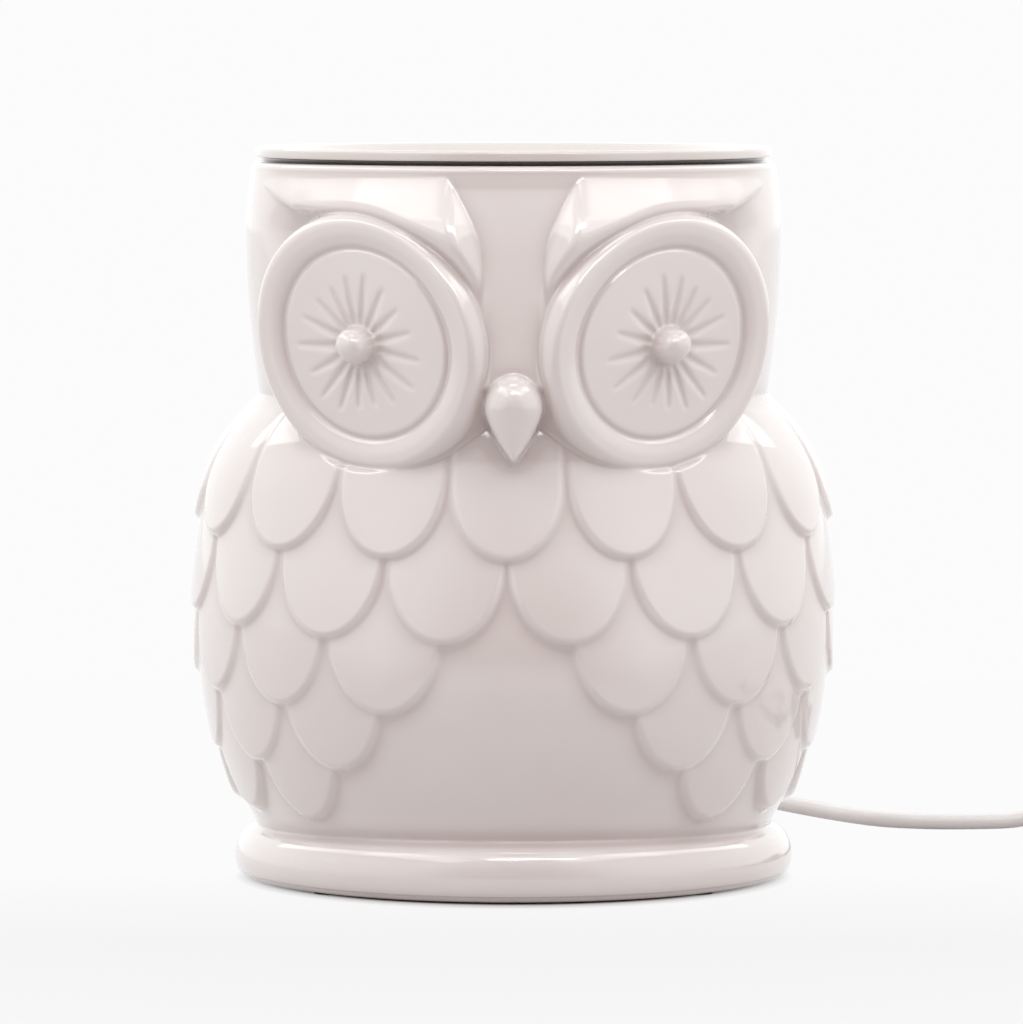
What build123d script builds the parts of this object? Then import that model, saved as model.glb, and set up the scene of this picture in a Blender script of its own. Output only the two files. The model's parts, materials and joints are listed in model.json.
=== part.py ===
from build123d import *
import os
from math import cos, hypot, pi, radians, sin, sqrt, tan

os.makedirs("parts", exist_ok=True)

# An owl-shaped electric wax melt warmer: a glazed ceramic owl over a reflector lamp,
# with a loose wax dish in its open head and a flat twin mains cord at the back.
# Millimetres and degrees, +Z up. The owl looks along -Y, and the origin is on the
# table under its middle.

# Ceramic shell: radii from the upright axis, heights above the table
pad_thickness = 0.8
foot_radius = 57.2
foot_edge_radius = 56.4
foot_height = 9.8
foot_bulge_share = 0.4
crease_radius = 52.4
belly_radius = 65.4
belly_height = 55.0
shoulder_radius = 63.6
shoulder_height = 79.0
neck_radius = 51.7
neck_height = 99.0
head_radius = 54.6
head_height = 131.0
rim_radius = 53.4
rim_height = 146.0
rim_rounding = 2.4
mouth_radius = 46.5
wall = 5.0
recess_depth = 4.8
recess_wall = 8.0
floor_thickness = 4.4
collar_rise = 1.0
floor_hole_radius = 37.0

# Feathers: five staggered rows, fewer in front of the bare belly
feather_tips = (67.7, 51.9, 37.4, 25.7, 14.4)
feather_count = 16
feather_length = 24.0
feather_lift = 1.8
feather_bury = 1.5
feather_overlap = 0.3

# Face: eyes turned to the sides, beak, and a raised brow with ear tufts
eye_angle = 31.0
eye_height = 110.4
eye_radius = 25.8
eye_face = 57.4
eye_rounding = 3.4
eye_root = 44.0
iris_radius = 18.9
iris_step = 0.5
pupil_radius = 3.9
pupil_sink = 0.9
ray_count = 18
ray_inner = 5.2
ray_outer = 11.8
ray_width = 1.0
ray_depth = 0.6
socket_face = 53.2
socket_gap = 1.6
socket_flare = 9.0
socket_reach = 16.0
beak_top = 105.2
beak_tip = 87.8
beak_width = 12.8
beak_face = 62.2
brow_lift = 1.5
brow_foot_lift = 3.0
brow_bury = 3.0
brow_gap = 2.0
brow_low = 103.0
brow_turn = 75.0
bridge_width = 12.0
ear_tip = (53.5, 142.0)
ear_root = (43.0, 134.5)
ear_top = 144.6

# Wax dish
dish_radius = 53.0
dish_height = 150.0
dish_lift_gap = 1.2
dish_seat_width = 2.6
dish_clearance = 0.8
dish_wall = 4.0
dish_neck_wall = 3.0
dish_depth = 11.5
dish_floor_radius = 29.0
dish_lip = 2.2
dish_edge_rounding = 1.1

# Closing plate and its fasteners
plate_thickness = 1.0
plate_clearance = 0.5
plate_screw_count = 3
plate_screw_start = 270.0
plate_screw_radius = 1.9
plate_screw_head = 3.6
plate_screw_head_height = 2.2
washer_radius = 4.0
washer_thickness = 0.8
nut_flats = 7.0
nut_height = 3.0
thread_clearance = 0.06
hole_clearance = 0.3
screw_stick_out = 1.2
screw_head_round = 0.4
vent_count = 5
vent_width = 3.0
vent_length = 16.0
vent_pitch = 8.0
vent_place = -23.0

# Rubber feet
foot_pad_count = 4
foot_pad_radius = 3.2

# Lamp bracket, holder and bulb
sheet = 1.2
bracket_width = 18.0
bracket_span = 46.0
bracket_height = 31.0
bracket_foot = 11.0
bracket_window = (9.0, 15.0)
small_screw_radius = 1.45
small_screw_head = 2.8
small_screw_head_height = 1.8
small_nut_flats = 5.5
small_nut_height = 2.4
holder_length = 36.0
holder_width = 20.0
holder_height = 15.0
holder_corner = 4.0
holder_lip = 3.0
holder_chamber = 3.2
holder_screw_spacing = 26.0
contact_thickness = 0.8
pin_pitch = 10.0
pin_radius = 1.45
pin_head_radius = 2.5
pin_head_height = 1.6
pin_root = 4.5
pin_play = 0.35
twist = 36.0
bulb_base_radius = 10.5
bulb_shoulder_radius = 13.0
bulb_base_height = 14.0
bulb_radius = 25.0
bulb_height = 46.0
glass_thickness = 1.3
front_glass_thickness = 2.2
front_glass_round = 0.9
capsule_radius = 4.5
capsule_height = 15.0
capsule_round = 3.6

# Wiring inside
lead_radius = 1.0
block_size = (20.0, 15.0)
block_place = 25.0
block_top_gap = 6.0
block_screw_spacing = 9.0
block_row_spacing = 8.0
clamp_screw_radius = 1.6
clamp_screw_sink = 0.6
clamp_screw_length = 5.0
lead_bend = 6.0
lead_turn = 2.0

# Cord exit at the back
cord_width = 5.2
cord_thickness = 3.2
cord_height = 16.8
bend_share = 0.45
boss_radius = 8.8
boss_face = 58.2
boss_inner = 45.6
relief_radius = 4.6
relief_collar_radius = 6.6
relief_collar = 2.4
relief_length = 15.0
relief_end_radius = 3.5
relief_barb_radius = 5.6
relief_barb = 1.8
relief_clearance = 0.1

# In-line switch on the cord
switch_length = 58.0
switch_width = 24.0
switch_height = 15.0
switch_split = 6.5
switch_wall = 1.8
switch_corner = 6.0
switch_edge = 1.6
switch_screw_spacing = 44.0
switch_boss_radius = 4.4
rocker_length = 19.0
rocker_width = 11.0
rocker_rise = 2.6
rocker_depth = 4.2
rocker_tilt = 8.0
rocker_gap = 0.8
rocker_round = 0.6
trunnion_radius = 1.6
trunnion_length = 1.6
trunnion_clearance = 0.06
post_size = (6.0, 8.0, 2.5)
post_spacing = 20.0

# Plug
plug_width = 35.0
plug_thickness = 13.6
plug_front = 12.0
plug_length = 36.0
plug_corner_share = 0.45
plug_neck = (9.0, 7.0)
plug_tail = 20.8
plug_straight = 6.2
plug_pin_pitch = 18.6
plug_pin_radius = 2.0
plug_pin_length = 19.0
plug_pin_core = 1.4
plug_pin_tip = 9.0
plug_pin_root = 6.0
plug_pin_round = 1.2
sleeve_radius = 1.7
sleeve_clearance = 0.05

# Coil of the put-away cord
coil_turns = 6
coil_outer = 38.5
coil_gap = 0.6
coil_layer_gap = 0.6
coil_climb = 0.5
coil_samples_per_turn = 48
tie_thickness = 0.7
tie_width = 7.0
tie_clearance = 0.7
tie_gap = 0.3

# Cord routes, points chosen by hand
switch_entry = (131.0, 80.0, 5.0)
lead_route = [
    (0.0, boss_face + relief_length, cord_height),
    (0.0, 88.0, cord_height),
    (7.8, 102.6, 15.0),
    (22.5, 111.1, 11.6),
    (39.5, 110.5, 7.6),
    (53.6, 101.0, 4.2),
    (76.5, 82.0, 1.9),
    (88.0, 77.8, 1.6),
    (99.5, 77.3, 1.6),
    (111.5, 79.4, 1.7),
    (121.0, 80.0, 5.0),
    switch_entry,
]
coil_route = [
    (switch_entry[0] + switch_length, 80.0, 5.0),
    (201.0, 80.0, 5.0),
    (215.5, 74.6, 2.8),
    (225.8, 62.3, 2.6),
    (229.2, 46.2, 2.6),
    (229.2, 30.0, 2.6),
]

# Places worked out from the sizes above
crease_height = pad_thickness + foot_height
foot_middle = pad_thickness + foot_height * foot_bulge_share
recess_radius = foot_edge_radius - recess_wall
floor_low = pad_thickness + recess_depth
floor_top = floor_low + floor_thickness
collar_height = shoulder_height + collar_rise
plate_low = floor_low - plate_thickness
plate_radius = recess_radius - plate_clearance
plate_screw_circle = (floor_hole_radius + crease_radius - wall) / 2
bracket_top = floor_low + bracket_height
holder_top = bracket_top + holder_height
bulb_top = holder_top + bulb_height
front = Plane.XZ


def radial_plane(angle):
    """Upright plane through the axis, its x pointing outward at an angle from the front."""
    a = radians(angle)
    return Plane((0, 0, 0), x_dir=(sin(a), -cos(a), 0), z_dir=(-cos(a), -sin(a), 0))


def facing_plane(angle, distance, height):
    """Plane that faces outward at an angle from the front, at a distance from the axis."""
    a = radians(angle)
    outward = Vector(sin(a), -cos(a), 0)
    return Plane(
        outward * distance + Vector(0, 0, height), x_dir=(cos(a), sin(a), 0), z_dir=outward
    )


# Side line of the plain body, radius against height
with BuildLine() as body_side:
    TangentArc((belly_radius, belly_height), (crease_radius, crease_height), tangent=(0, -1))
    belly_high = TangentArc(
        (belly_radius, belly_height), (shoulder_radius, shoulder_height), tangent=(0, 1)
    )
    TangentArc(belly_high @ 1, (neck_radius, neck_height), tangent=belly_high % 1)


def body_radius(height):
    """Radius of the plain body at a height between the foot crease and the neck."""
    for edge in body_side.edges():
        start, end = edge.position_at(0).Y, edge.position_at(1).Y
        if min(start, end) <= height <= max(start, end):
            low, high = (0.0, 1.0) if start < end else (1.0, 0.0)
            for _ in range(40):
                middle = (low + high) / 2
                if edge.position_at(middle).Y < height:
                    low = middle
                else:
                    high = middle
            return edge.position_at(low).X
    return neck_radius


def front_feather(tip):
    """One feather of a row, at the front: a lifted scale with a round tip."""
    root = min(tip + feather_length, neck_height)
    middle = (tip + root) / 2
    pitch = 360 / feather_count
    half_width = (body_radius(tip) + feather_lift) * tan(radians(pitch / 2)) + feather_overlap / 2
    with BuildPart() as scale:
        with BuildSketch(radial_plane(-pitch)):
            with BuildLine():
                skin = ThreePointArc(
                    (body_radius(root), root),
                    (body_radius(middle) + feather_lift / 2, middle),
                    (body_radius(tip) + feather_lift, tip),
                )
                back = ThreePointArc(
                    (body_radius(root) - feather_bury, root),
                    (body_radius(middle) - feather_bury, middle),
                    (body_radius(tip) - feather_bury, tip),
                )
                Line(skin @ 0, back @ 0)
                Line(skin @ 1, back @ 1)
            make_face()
        revolve(axis=Axis.Z, revolution_arc=2 * pitch)
        with BuildSketch(front):
            with Locations((0, tip + half_width)):
                Circle(half_width)
            with Locations((0, (tip + half_width + root) / 2)):
                Rectangle(2 * half_width, root - tip - half_width)
        extrude(amount=2 * belly_radius, mode=Mode.INTERSECT)
    return scale.part


# Owl shell: plain body first, then feathers, face, hollow and holes
with BuildPart() as owl_shell:
    with BuildSketch(front) as outline:
        with BuildLine():
            add(body_side.line)
            Line((0, pad_thickness), (foot_edge_radius, pad_thickness))
            ThreePointArc(
                (foot_edge_radius, pad_thickness),
                (foot_radius, foot_middle),
                (crease_radius, crease_height),
            )
            TangentArc((head_radius, head_height), (neck_radius, neck_height), tangent=(0, -1))
            TangentArc((head_radius, head_height), (rim_radius, rim_height), tangent=(0, 1))
            Polyline((rim_radius, rim_height), (0, rim_height), (0, pad_thickness))
        make_face()
        fillet(outline.vertices().sort_by_distance((rim_radius, rim_height))[0], rim_rounding)
    revolve(axis=Axis.Z)
    for row, tip in enumerate(feather_tips):
        scale = front_feather(tip)
        pitch = 360 / feather_count
        bare = max(row - 1, 0) * pitch / 2
        turns = [(place + row % 2 / 2) * pitch for place in range(feather_count)]
        kept = [turn for turn in turns if min(turn, 360 - turn) >= bare]
        add([scale.rotate(Axis.Z, turn) for turn in kept])
    for side in (-1, 1):
        with Locations(facing_plane(side * eye_angle, socket_face, eye_height)):
            Cone(
                eye_radius + socket_gap,
                eye_radius + socket_gap + socket_flare,
                socket_reach,
                align=(Align.CENTER, Align.CENTER, Align.MIN),
                mode=Mode.SUBTRACT,
            )

# Raised brow: a forehead that runs down between the eyes and out to two ear tufts
with BuildPart() as brow:
    with BuildSketch(radial_plane(-brow_turn)):
        with BuildLine():
            brow_skin = ThreePointArc(
                (neck_radius + brow_foot_lift, brow_low),
                (head_radius + brow_lift, head_height),
                (rim_radius, ear_top),
            )
            Polyline(
                brow_skin @ 1,
                (rim_radius - brow_bury, ear_top),
                (neck_radius - brow_bury, brow_low),
                brow_skin @ 0,
            )
        make_face()
    revolve(axis=Axis.Z, revolution_arc=2 * brow_turn)
    with BuildSketch(front):
        with BuildLine():
            Polyline(
                (0, brow_low),
                (bridge_width / 2, brow_low),
                ear_root,
                ear_tip,
                (ear_root[0], rim_height),
                (0, rim_height),
                close=True,
            )
        make_face()
        mirror(about=Plane.YZ)
    extrude(amount=2 * head_radius, mode=Mode.INTERSECT)
    for side in (-1, 1):
        with Locations(facing_plane(side * eye_angle, eye_root, eye_height)):
            Cylinder(
                eye_radius + brow_gap,
                head_radius,
                align=(Align.CENTER, Align.CENTER, Align.MIN),
                mode=Mode.SUBTRACT,
            )

# Eye at the front, face up: round ring, stepped iris with cut rays, raised pupil
with BuildPart() as eye:
    eye_rise = eye_face - eye_root
    Cylinder(eye_radius, eye_rise, align=(Align.CENTER, Align.CENTER, Align.MIN))
    fillet(eye.edges().filter_by(GeomType.CIRCLE).sort_by(Axis.Z)[-1], eye_rounding)
    with BuildSketch(Plane.XY.offset(eye_rise)):
        Circle(iris_radius)
    extrude(amount=-iris_step, mode=Mode.SUBTRACT)
    with BuildSketch(Plane.XY.offset(eye_rise - iris_step)):
        with PolarLocations((ray_inner + ray_outer) / 2, ray_count):
            SlotOverall(ray_outer - ray_inner, ray_width)
    extrude(amount=-ray_depth, mode=Mode.SUBTRACT)
    with Locations((0, 0, eye_rise - iris_step - pupil_sink)):
        Sphere(pupil_radius)

# Beak: a drop standing on its point
with BuildPart() as beak:
    beak_axis = beak_face - beak_width / 2
    beak_wide = beak_top - beak_width / 2
    with BuildSketch(front.offset(beak_axis)):
        with BuildLine():
            TangentArc((beak_width / 2, beak_wide), (0, beak_top), tangent=(0, 1))
            TangentArc((beak_width / 2, beak_wide), (0, beak_tip), tangent=(0, -1))
            Line((0, beak_top), (0, beak_tip))
        make_face()
    revolve(axis=Axis((0, -beak_axis, 0), (0, 0, 1)))

with owl_shell:
    add(brow.part)
    for side in (-1, 1):
        with Locations(facing_plane(side * eye_angle, eye_root, eye_height)):
            add(eye.part)
    add(beak.part)
    with BuildSketch(front):
        with BuildLine():
            TangentArc(
                (belly_radius - wall, belly_height),
                (crease_radius - wall, floor_top),
                tangent=(0, -1),
            )
            TangentArc(
                (belly_radius - wall, belly_height), (mouth_radius, collar_height), tangent=(0, 1)
            )
            Polyline(
                (mouth_radius, collar_height),
                (mouth_radius, rim_height),
                (0, rim_height),
                (0, floor_top),
                (crease_radius - wall, floor_top),
            )
        make_face()
    revolve(axis=Axis.Z, mode=Mode.SUBTRACT)
    with BuildSketch(Plane.XY.offset(pad_thickness)):
        Circle(recess_radius)
    extrude(amount=recess_depth, mode=Mode.SUBTRACT)
    with BuildSketch(Plane.XY.offset(floor_low)):
        Circle(floor_hole_radius)
        with PolarLocations(plate_screw_circle, plate_screw_count, start_angle=plate_screw_start):
            Circle(plate_screw_radius + hole_clearance)
    extrude(amount=floor_thickness, mode=Mode.SUBTRACT)
    with BuildSketch(Plane.XZ.offset(-boss_inner)):
        with Locations((0, cord_height)):
            Circle(boss_radius)
    extrude(amount=boss_inner - boss_face)
    with BuildSketch(Plane.XZ.offset(-boss_face)):
        with Locations((0, cord_height)):
            Circle(boss_radius)
    extrude(amount=boss_face - belly_radius - feather_lift, mode=Mode.SUBTRACT)
    with BuildSketch(Plane.XZ.offset(-boss_inner)):
        with Locations((0, cord_height)):
            Circle(relief_radius)
    extrude(amount=boss_inner - boss_face, mode=Mode.SUBTRACT)

owl_shell.part.label = "owl_shell"
export_step(owl_shell.part, "parts/owl_shell.step")

# Wax dish: a shallow bowl that hangs in the mouth of the head by its flange
with BuildPart() as wax_dish:
    spigot = mouth_radius - dish_clearance
    seat_edge = mouth_radius + dish_seat_width
    dish_floor = dish_height - dish_depth
    flange_low = rim_height + dish_lift_gap
    with BuildSketch(front) as dish_outline:
        with BuildLine():
            Polyline(
                (0, dish_floor),
                (0, dish_floor - dish_wall),
                (dish_floor_radius, dish_floor - dish_wall),
            )
            bowl_back = TangentArc(
                (dish_floor_radius, dish_floor - dish_wall),
                (spigot, rim_height - dish_clearance),
                tangent=(1, 0),
            )
            Polyline(
                bowl_back @ 1,
                (spigot, rim_height),
                (seat_edge, rim_height),
                (seat_edge + dish_lift_gap, flange_low),
                (dish_radius, flange_low),
                (dish_radius, dish_height),
                (dish_radius - dish_lip, dish_height),
            )
            bowl_face = TangentArc(
                (dish_floor_radius, dish_floor),
                (spigot - dish_neck_wall, rim_height),
                tangent=(1, 0),
            )
            Line(bowl_face @ 1, (dish_radius - dish_lip, dish_height))
            Line((0, dish_floor), bowl_face @ 0)
        make_face()
        edge_corners = dish_outline.vertices().group_by(Axis.X)[-1]
        fillet(edge_corners, dish_edge_rounding)
    revolve(axis=Axis.Z)
wax_dish.part.label = "wax_dish"
export_step(wax_dish.part, "parts/wax_dish.step")

# Rubber feet under the foot ring
with BuildPart() as rubber_feet:
    with BuildSketch(Plane.XY):
        with PolarLocations((foot_edge_radius + recess_radius) / 2, foot_pad_count, start_angle=45):
            Circle(foot_pad_radius)
    extrude(amount=pad_thickness)
rubber_feet.part.label = "rubber_feet"
export_step(rubber_feet.part, "parts/rubber_feet.step")

# Closing plate under the floor flange, with vents and holes for what it carries
bracket_screw_place = bracket_span / 2 + bracket_foot / 2
with BuildPart() as base_plate:
    with BuildSketch(Plane.XY.offset(plate_low)):
        Circle(plate_radius)
        with PolarLocations(plate_screw_circle, plate_screw_count, start_angle=plate_screw_start):
            Circle(plate_screw_radius + hole_clearance, mode=Mode.SUBTRACT)
        with Locations((-bracket_screw_place, 0), (bracket_screw_place, 0), (0, block_place)):
            Circle(small_screw_radius + hole_clearance, mode=Mode.SUBTRACT)
        with Locations((0, vent_place)):
            with GridLocations(vent_pitch, 1, vent_count, 1):
                SlotOverall(vent_length, vent_width, rotation=90, mode=Mode.SUBTRACT)
    extrude(amount=plate_thickness)
base_plate.part.label = "base_plate"
export_step(base_plate.part, "parts/base_plate.step")


def pan_screws(places, head_radius, head_height, shaft_radius, seat, end):
    """Pan-head screws seen from below: heads under the seat height, shafts up to the end."""
    with BuildPart() as screws:
        with BuildSketch(Plane.XY.offset(seat)):
            with Locations(*places):
                Circle(head_radius)
        extrude(amount=-head_height)
        fillet(screws.edges().filter_by(GeomType.CIRCLE).group_by(Axis.Z)[0], head_height * screw_head_round)
        with BuildSketch(Plane.XY.offset(seat)):
            with Locations(*places):
                Circle(shaft_radius)
        extrude(amount=end - seat)
    return screws


def hex_nuts(places, flats, height, hole_radius, seat):
    """Hexagon nuts standing on a seat height."""
    with BuildPart() as nuts:
        with BuildSketch(Plane.XY.offset(seat)):
            with Locations(*places):
                RegularPolygon(flats / 2, 6, major_radius=False)
                Circle(hole_radius, mode=Mode.SUBTRACT)
        extrude(amount=height)
    return nuts


def around(radius, count, start):
    """Places on a circle."""
    angles = [radians(start + 360 * place / count) for place in range(count)]
    return [(radius * cos(a), radius * sin(a)) for a in angles]


plate_places = around(plate_screw_circle, plate_screw_count, plate_screw_start)
nut_seat = floor_top + washer_thickness
base_screws = pan_screws(
    plate_places,
    plate_screw_head,
    plate_screw_head_height,
    plate_screw_radius,
    plate_low,
    nut_seat + nut_height + screw_stick_out,
)
base_screws.part.label = "base_screws"
export_step(base_screws.part, "parts/base_screws.step")

with BuildPart() as base_washers:
    with BuildSketch(Plane.XY.offset(floor_top)):
        with Locations(*plate_places):
            Circle(washer_radius)
            Circle(plate_screw_radius + hole_clearance, mode=Mode.SUBTRACT)
    extrude(amount=washer_thickness)
base_washers.part.label = "base_washers"
export_step(base_washers.part, "parts/base_washers.step")

base_nuts = hex_nuts(
    plate_places, nut_flats, nut_height, plate_screw_radius + thread_clearance, nut_seat
)
base_nuts.part.label = "base_nuts"
export_step(base_nuts.part, "parts/base_nuts.step")

# Lamp bracket: a bent strap standing on the closing plate
holder_screw_places = [(-holder_screw_spacing / 2, 0), (holder_screw_spacing / 2, 0)]
bracket_screw_places = [(-bracket_screw_place, 0), (bracket_screw_place, 0)]
with BuildPart() as lamp_bracket:
    with BuildSketch(front):
        with Locations((0, bracket_top)):
            Rectangle(bracket_span, sheet, align=(Align.CENTER, Align.MAX))
        for side in (-1, 1):
            with Locations((side * (bracket_span - sheet) / 2, floor_low)):
                Rectangle(sheet, bracket_height, align=(Align.CENTER, Align.MIN))
            with Locations((side * bracket_screw_place, floor_low)):
                Rectangle(bracket_foot, sheet, align=(Align.CENTER, Align.MIN))
    extrude(amount=bracket_width / 2, both=True)
    with BuildSketch(Plane.XY.offset(bracket_top)):
        Rectangle(*bracket_window)
        with Locations(*holder_screw_places):
            Circle(small_screw_radius + hole_clearance)
    extrude(amount=-sheet, mode=Mode.SUBTRACT)
    with BuildSketch(Plane.XY.offset(floor_low)):
        with Locations(*bracket_screw_places):
            Circle(small_screw_radius + hole_clearance)
    extrude(amount=sheet, mode=Mode.SUBTRACT)
lamp_bracket.part.label = "lamp_bracket"
export_step(lamp_bracket.part, "parts/lamp_bracket.step")

bracket_screws = pan_screws(
    bracket_screw_places,
    small_screw_head,
    small_screw_head_height,
    small_screw_radius,
    plate_low,
    floor_low + sheet + small_nut_height + screw_stick_out,
)
bracket_screws.part.label = "bracket_screws"
export_step(bracket_screws.part, "parts/bracket_screws.step")

bracket_nuts = hex_nuts(
    bracket_screw_places,
    small_nut_flats,
    small_nut_height,
    small_screw_radius + thread_clearance,
    floor_low + sheet,
)
bracket_nuts.part.label = "bracket_nuts"
export_step(bracket_nuts.part, "parts/bracket_nuts.step")

# Twist-lock lamp holder: two curved slots under a lip, wide where the pin heads go in
screw_head_seat = holder_top - small_screw_head_height - hole_clearance
nut_low = bracket_top - sheet - small_nut_height
chamber_top = holder_top - holder_lip
chamber_low = chamber_top - holder_chamber
pin_circle = pin_pitch / 2
slot_starts = (90, 270)
lead_angle = twist / 2
lead_places = around(pin_circle, 2, 90 + lead_angle)


def pin_arcs(width):
    """Curved slots that the two lamp pins turn through."""
    for start in slot_starts:
        with BuildLine(mode=Mode.PRIVATE) as path:
            CenterArc((0, 0), pin_circle, start, twist)
        SlotArc(path.edge(), width)


with BuildPart() as lamp_holder:
    with BuildSketch(Plane.XY.offset(bracket_top)):
        RectangleRounded(holder_length, holder_width, holder_corner)
        with Locations(*holder_screw_places):
            Circle(small_screw_radius + hole_clearance, mode=Mode.SUBTRACT)
        with Locations(*lead_places):
            Circle(lead_radius + hole_clearance, mode=Mode.SUBTRACT)
    extrude(amount=chamber_low - bracket_top)
    with BuildSketch(Plane.XY.offset(chamber_low)):
        RectangleRounded(holder_length, holder_width, holder_corner)
        with Locations(*holder_screw_places):
            Circle(small_screw_radius + hole_clearance, mode=Mode.SUBTRACT)
    extrude(amount=holder_top - chamber_low)
    with BuildSketch(Plane.XY.offset(chamber_low)):
        pin_arcs(2 * (pin_head_radius + pin_play))
    extrude(amount=holder_chamber, mode=Mode.SUBTRACT)
    with BuildSketch(Plane.XY.offset(chamber_top)):
        pin_arcs(2 * (pin_radius + pin_play))
        with Locations(*around(pin_circle, 2, 90 + twist)):
            Circle(pin_head_radius + pin_play)
    extrude(amount=holder_lip, mode=Mode.SUBTRACT)
    with BuildSketch(Plane.XY.offset(screw_head_seat)):
        with Locations(*holder_screw_places):
            Circle(small_screw_head + hole_clearance)
    extrude(amount=holder_top - screw_head_seat, mode=Mode.SUBTRACT)
lamp_holder.part.label = "lamp_holder"
export_step(lamp_holder.part, "parts/lamp_holder.step")

with BuildPart() as holder_contacts:
    with BuildSketch(Plane.XY.offset(chamber_low)):
        pin_arcs(2 * pin_head_radius)
    extrude(amount=contact_thickness)
holder_contacts.part.label = "holder_contacts"
export_step(holder_contacts.part, "parts/holder_contacts.step")

# Holder screws go down through the holder and the bracket into nuts below
with BuildPart() as holder_screws:
    with BuildSketch(Plane.XY.offset(screw_head_seat)):
        with Locations(*holder_screw_places):
            Circle(small_screw_head)
    extrude(amount=small_screw_head_height)
    with BuildSketch(Plane.XY.offset(screw_head_seat)):
        with Locations(*holder_screw_places):
            Circle(small_screw_radius)
    extrude(amount=nut_low - screw_stick_out - screw_head_seat)
holder_screws.part.label = "holder_screws"
export_step(holder_screws.part, "parts/holder_screws.step")

holder_nuts = hex_nuts(
    holder_screw_places,
    small_nut_flats,
    small_nut_height,
    small_screw_radius + thread_clearance,
    nut_low,
)
holder_nuts.part.label = "holder_nuts"
export_step(holder_nuts.part, "parts/holder_nuts.step")

# Reflector bulb
bulb_places = around(pin_circle, 2, 90)
base_top = holder_top + bulb_base_height
with BuildPart() as bulb_base:
    with BuildSketch(front):
        with BuildLine():
            Polyline(
                (0, holder_top),
                (bulb_base_radius, holder_top),
                (bulb_shoulder_radius, base_top),
                (0, base_top),
                close=True,
            )
        make_face()
    revolve(axis=Axis.Z)
    with BuildSketch(Plane.XY.offset(holder_top)):
        with Locations(*bulb_places):
            Circle(pin_radius + thread_clearance)
    extrude(amount=pin_root, mode=Mode.SUBTRACT)
bulb_base.part.label = "bulb_base"
export_step(bulb_base.part, "parts/bulb_base.step")

with BuildPart() as bulb_pins:
    pin_neck_low = chamber_top - pin_play
    with BuildSketch(Plane.XY.offset(pin_neck_low)):
        with Locations(*bulb_places):
            Circle(pin_radius)
    extrude(amount=holder_top + pin_root - pin_neck_low)
    with BuildSketch(Plane.XY.offset(pin_neck_low)):
        with Locations(*bulb_places):
            Circle(pin_head_radius)
    extrude(amount=-pin_head_height)
bulb_pins.part.label = "bulb_pins"
export_step(bulb_pins.part, "parts/bulb_pins.step")

with BuildPart() as bulb_reflector:
    with BuildSketch(front):
        with BuildLine():
            glass_back = TangentArc(
                (bulb_radius, bulb_top), (bulb_shoulder_radius, base_top), tangent=(0, -1)
            )
            glass_face = TangentArc(
                (bulb_radius - glass_thickness, bulb_top),
                (bulb_shoulder_radius - glass_thickness, base_top),
                tangent=(0, -1),
            )
            Line(glass_back @ 0, glass_face @ 0)
            Line(glass_back @ 1, glass_face @ 1)
        make_face()
    revolve(axis=Axis.Z)
bulb_reflector.part.label = "bulb_reflector"
export_step(bulb_reflector.part, "parts/bulb_reflector.step")

with BuildPart() as bulb_capsule:
    with BuildSketch(Plane.XY.offset(base_top)):
        Circle(capsule_radius)
    extrude(amount=capsule_height)
    fillet(bulb_capsule.edges().group_by(Axis.Z)[-1], capsule_round)
bulb_capsule.part.label = "bulb_capsule"
export_step(bulb_capsule.part, "parts/bulb_capsule.step")

with BuildPart() as bulb_front_glass:
    with BuildSketch(Plane.XY.offset(bulb_top)):
        Circle(bulb_radius)
    extrude(amount=front_glass_thickness)
    fillet(bulb_front_glass.edges().group_by(Axis.Z)[-1], front_glass_round)
bulb_front_glass.part.label = "bulb_front_glass"
export_step(bulb_front_glass.part, "parts/bulb_front_glass.step")

# Terminal block on the closing plate, in line with the cord
block_top = cord_height + block_top_gap
block_front = block_place - block_size[1] / 2
block_rear = block_place + block_size[1] / 2
clamp_places = [
    (x * block_screw_spacing / 2, block_place + y * block_row_spacing / 2)
    for x in (-1, 1)
    for y in (-1, 1)
]
with BuildPart() as terminal_block:
    with BuildSketch(Plane.XY.offset(floor_low)):
        with Locations((0, block_place)):
            Rectangle(*block_size)
    extrude(amount=block_top - floor_low)
    with BuildSketch(Plane.XY.offset(block_top)):
        with Locations(*clamp_places):
            Circle(clamp_screw_radius + thread_clearance)
    extrude(amount=-clamp_screw_sink - clamp_screw_length, mode=Mode.SUBTRACT)
    block_screw_end = floor_low + (cord_height - floor_low) / 2
    with BuildSketch(Plane.XY.offset(floor_low)):
        with Locations((0, block_place)):
            Circle(small_screw_radius + thread_clearance)
    extrude(amount=block_screw_end + hole_clearance - floor_low, mode=Mode.SUBTRACT)
terminal_block.part.label = "terminal_block"
export_step(terminal_block.part, "parts/terminal_block.step")

with BuildPart() as terminal_screws:
    with BuildSketch(Plane.XY.offset(block_top - clamp_screw_sink)):
        with Locations(*clamp_places):
            Circle(clamp_screw_radius)
    extrude(amount=-clamp_screw_length)
terminal_screws.part.label = "terminal_screws"
export_step(terminal_screws.part, "parts/terminal_screws.step")

block_screw = pan_screws(
    [(0, block_place)],
    small_screw_head,
    small_screw_head_height,
    small_screw_radius,
    plate_low,
    block_screw_end,
)
block_screw.part.label = "block_screw"
export_step(block_screw.part, "parts/block_screw.step")

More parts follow.
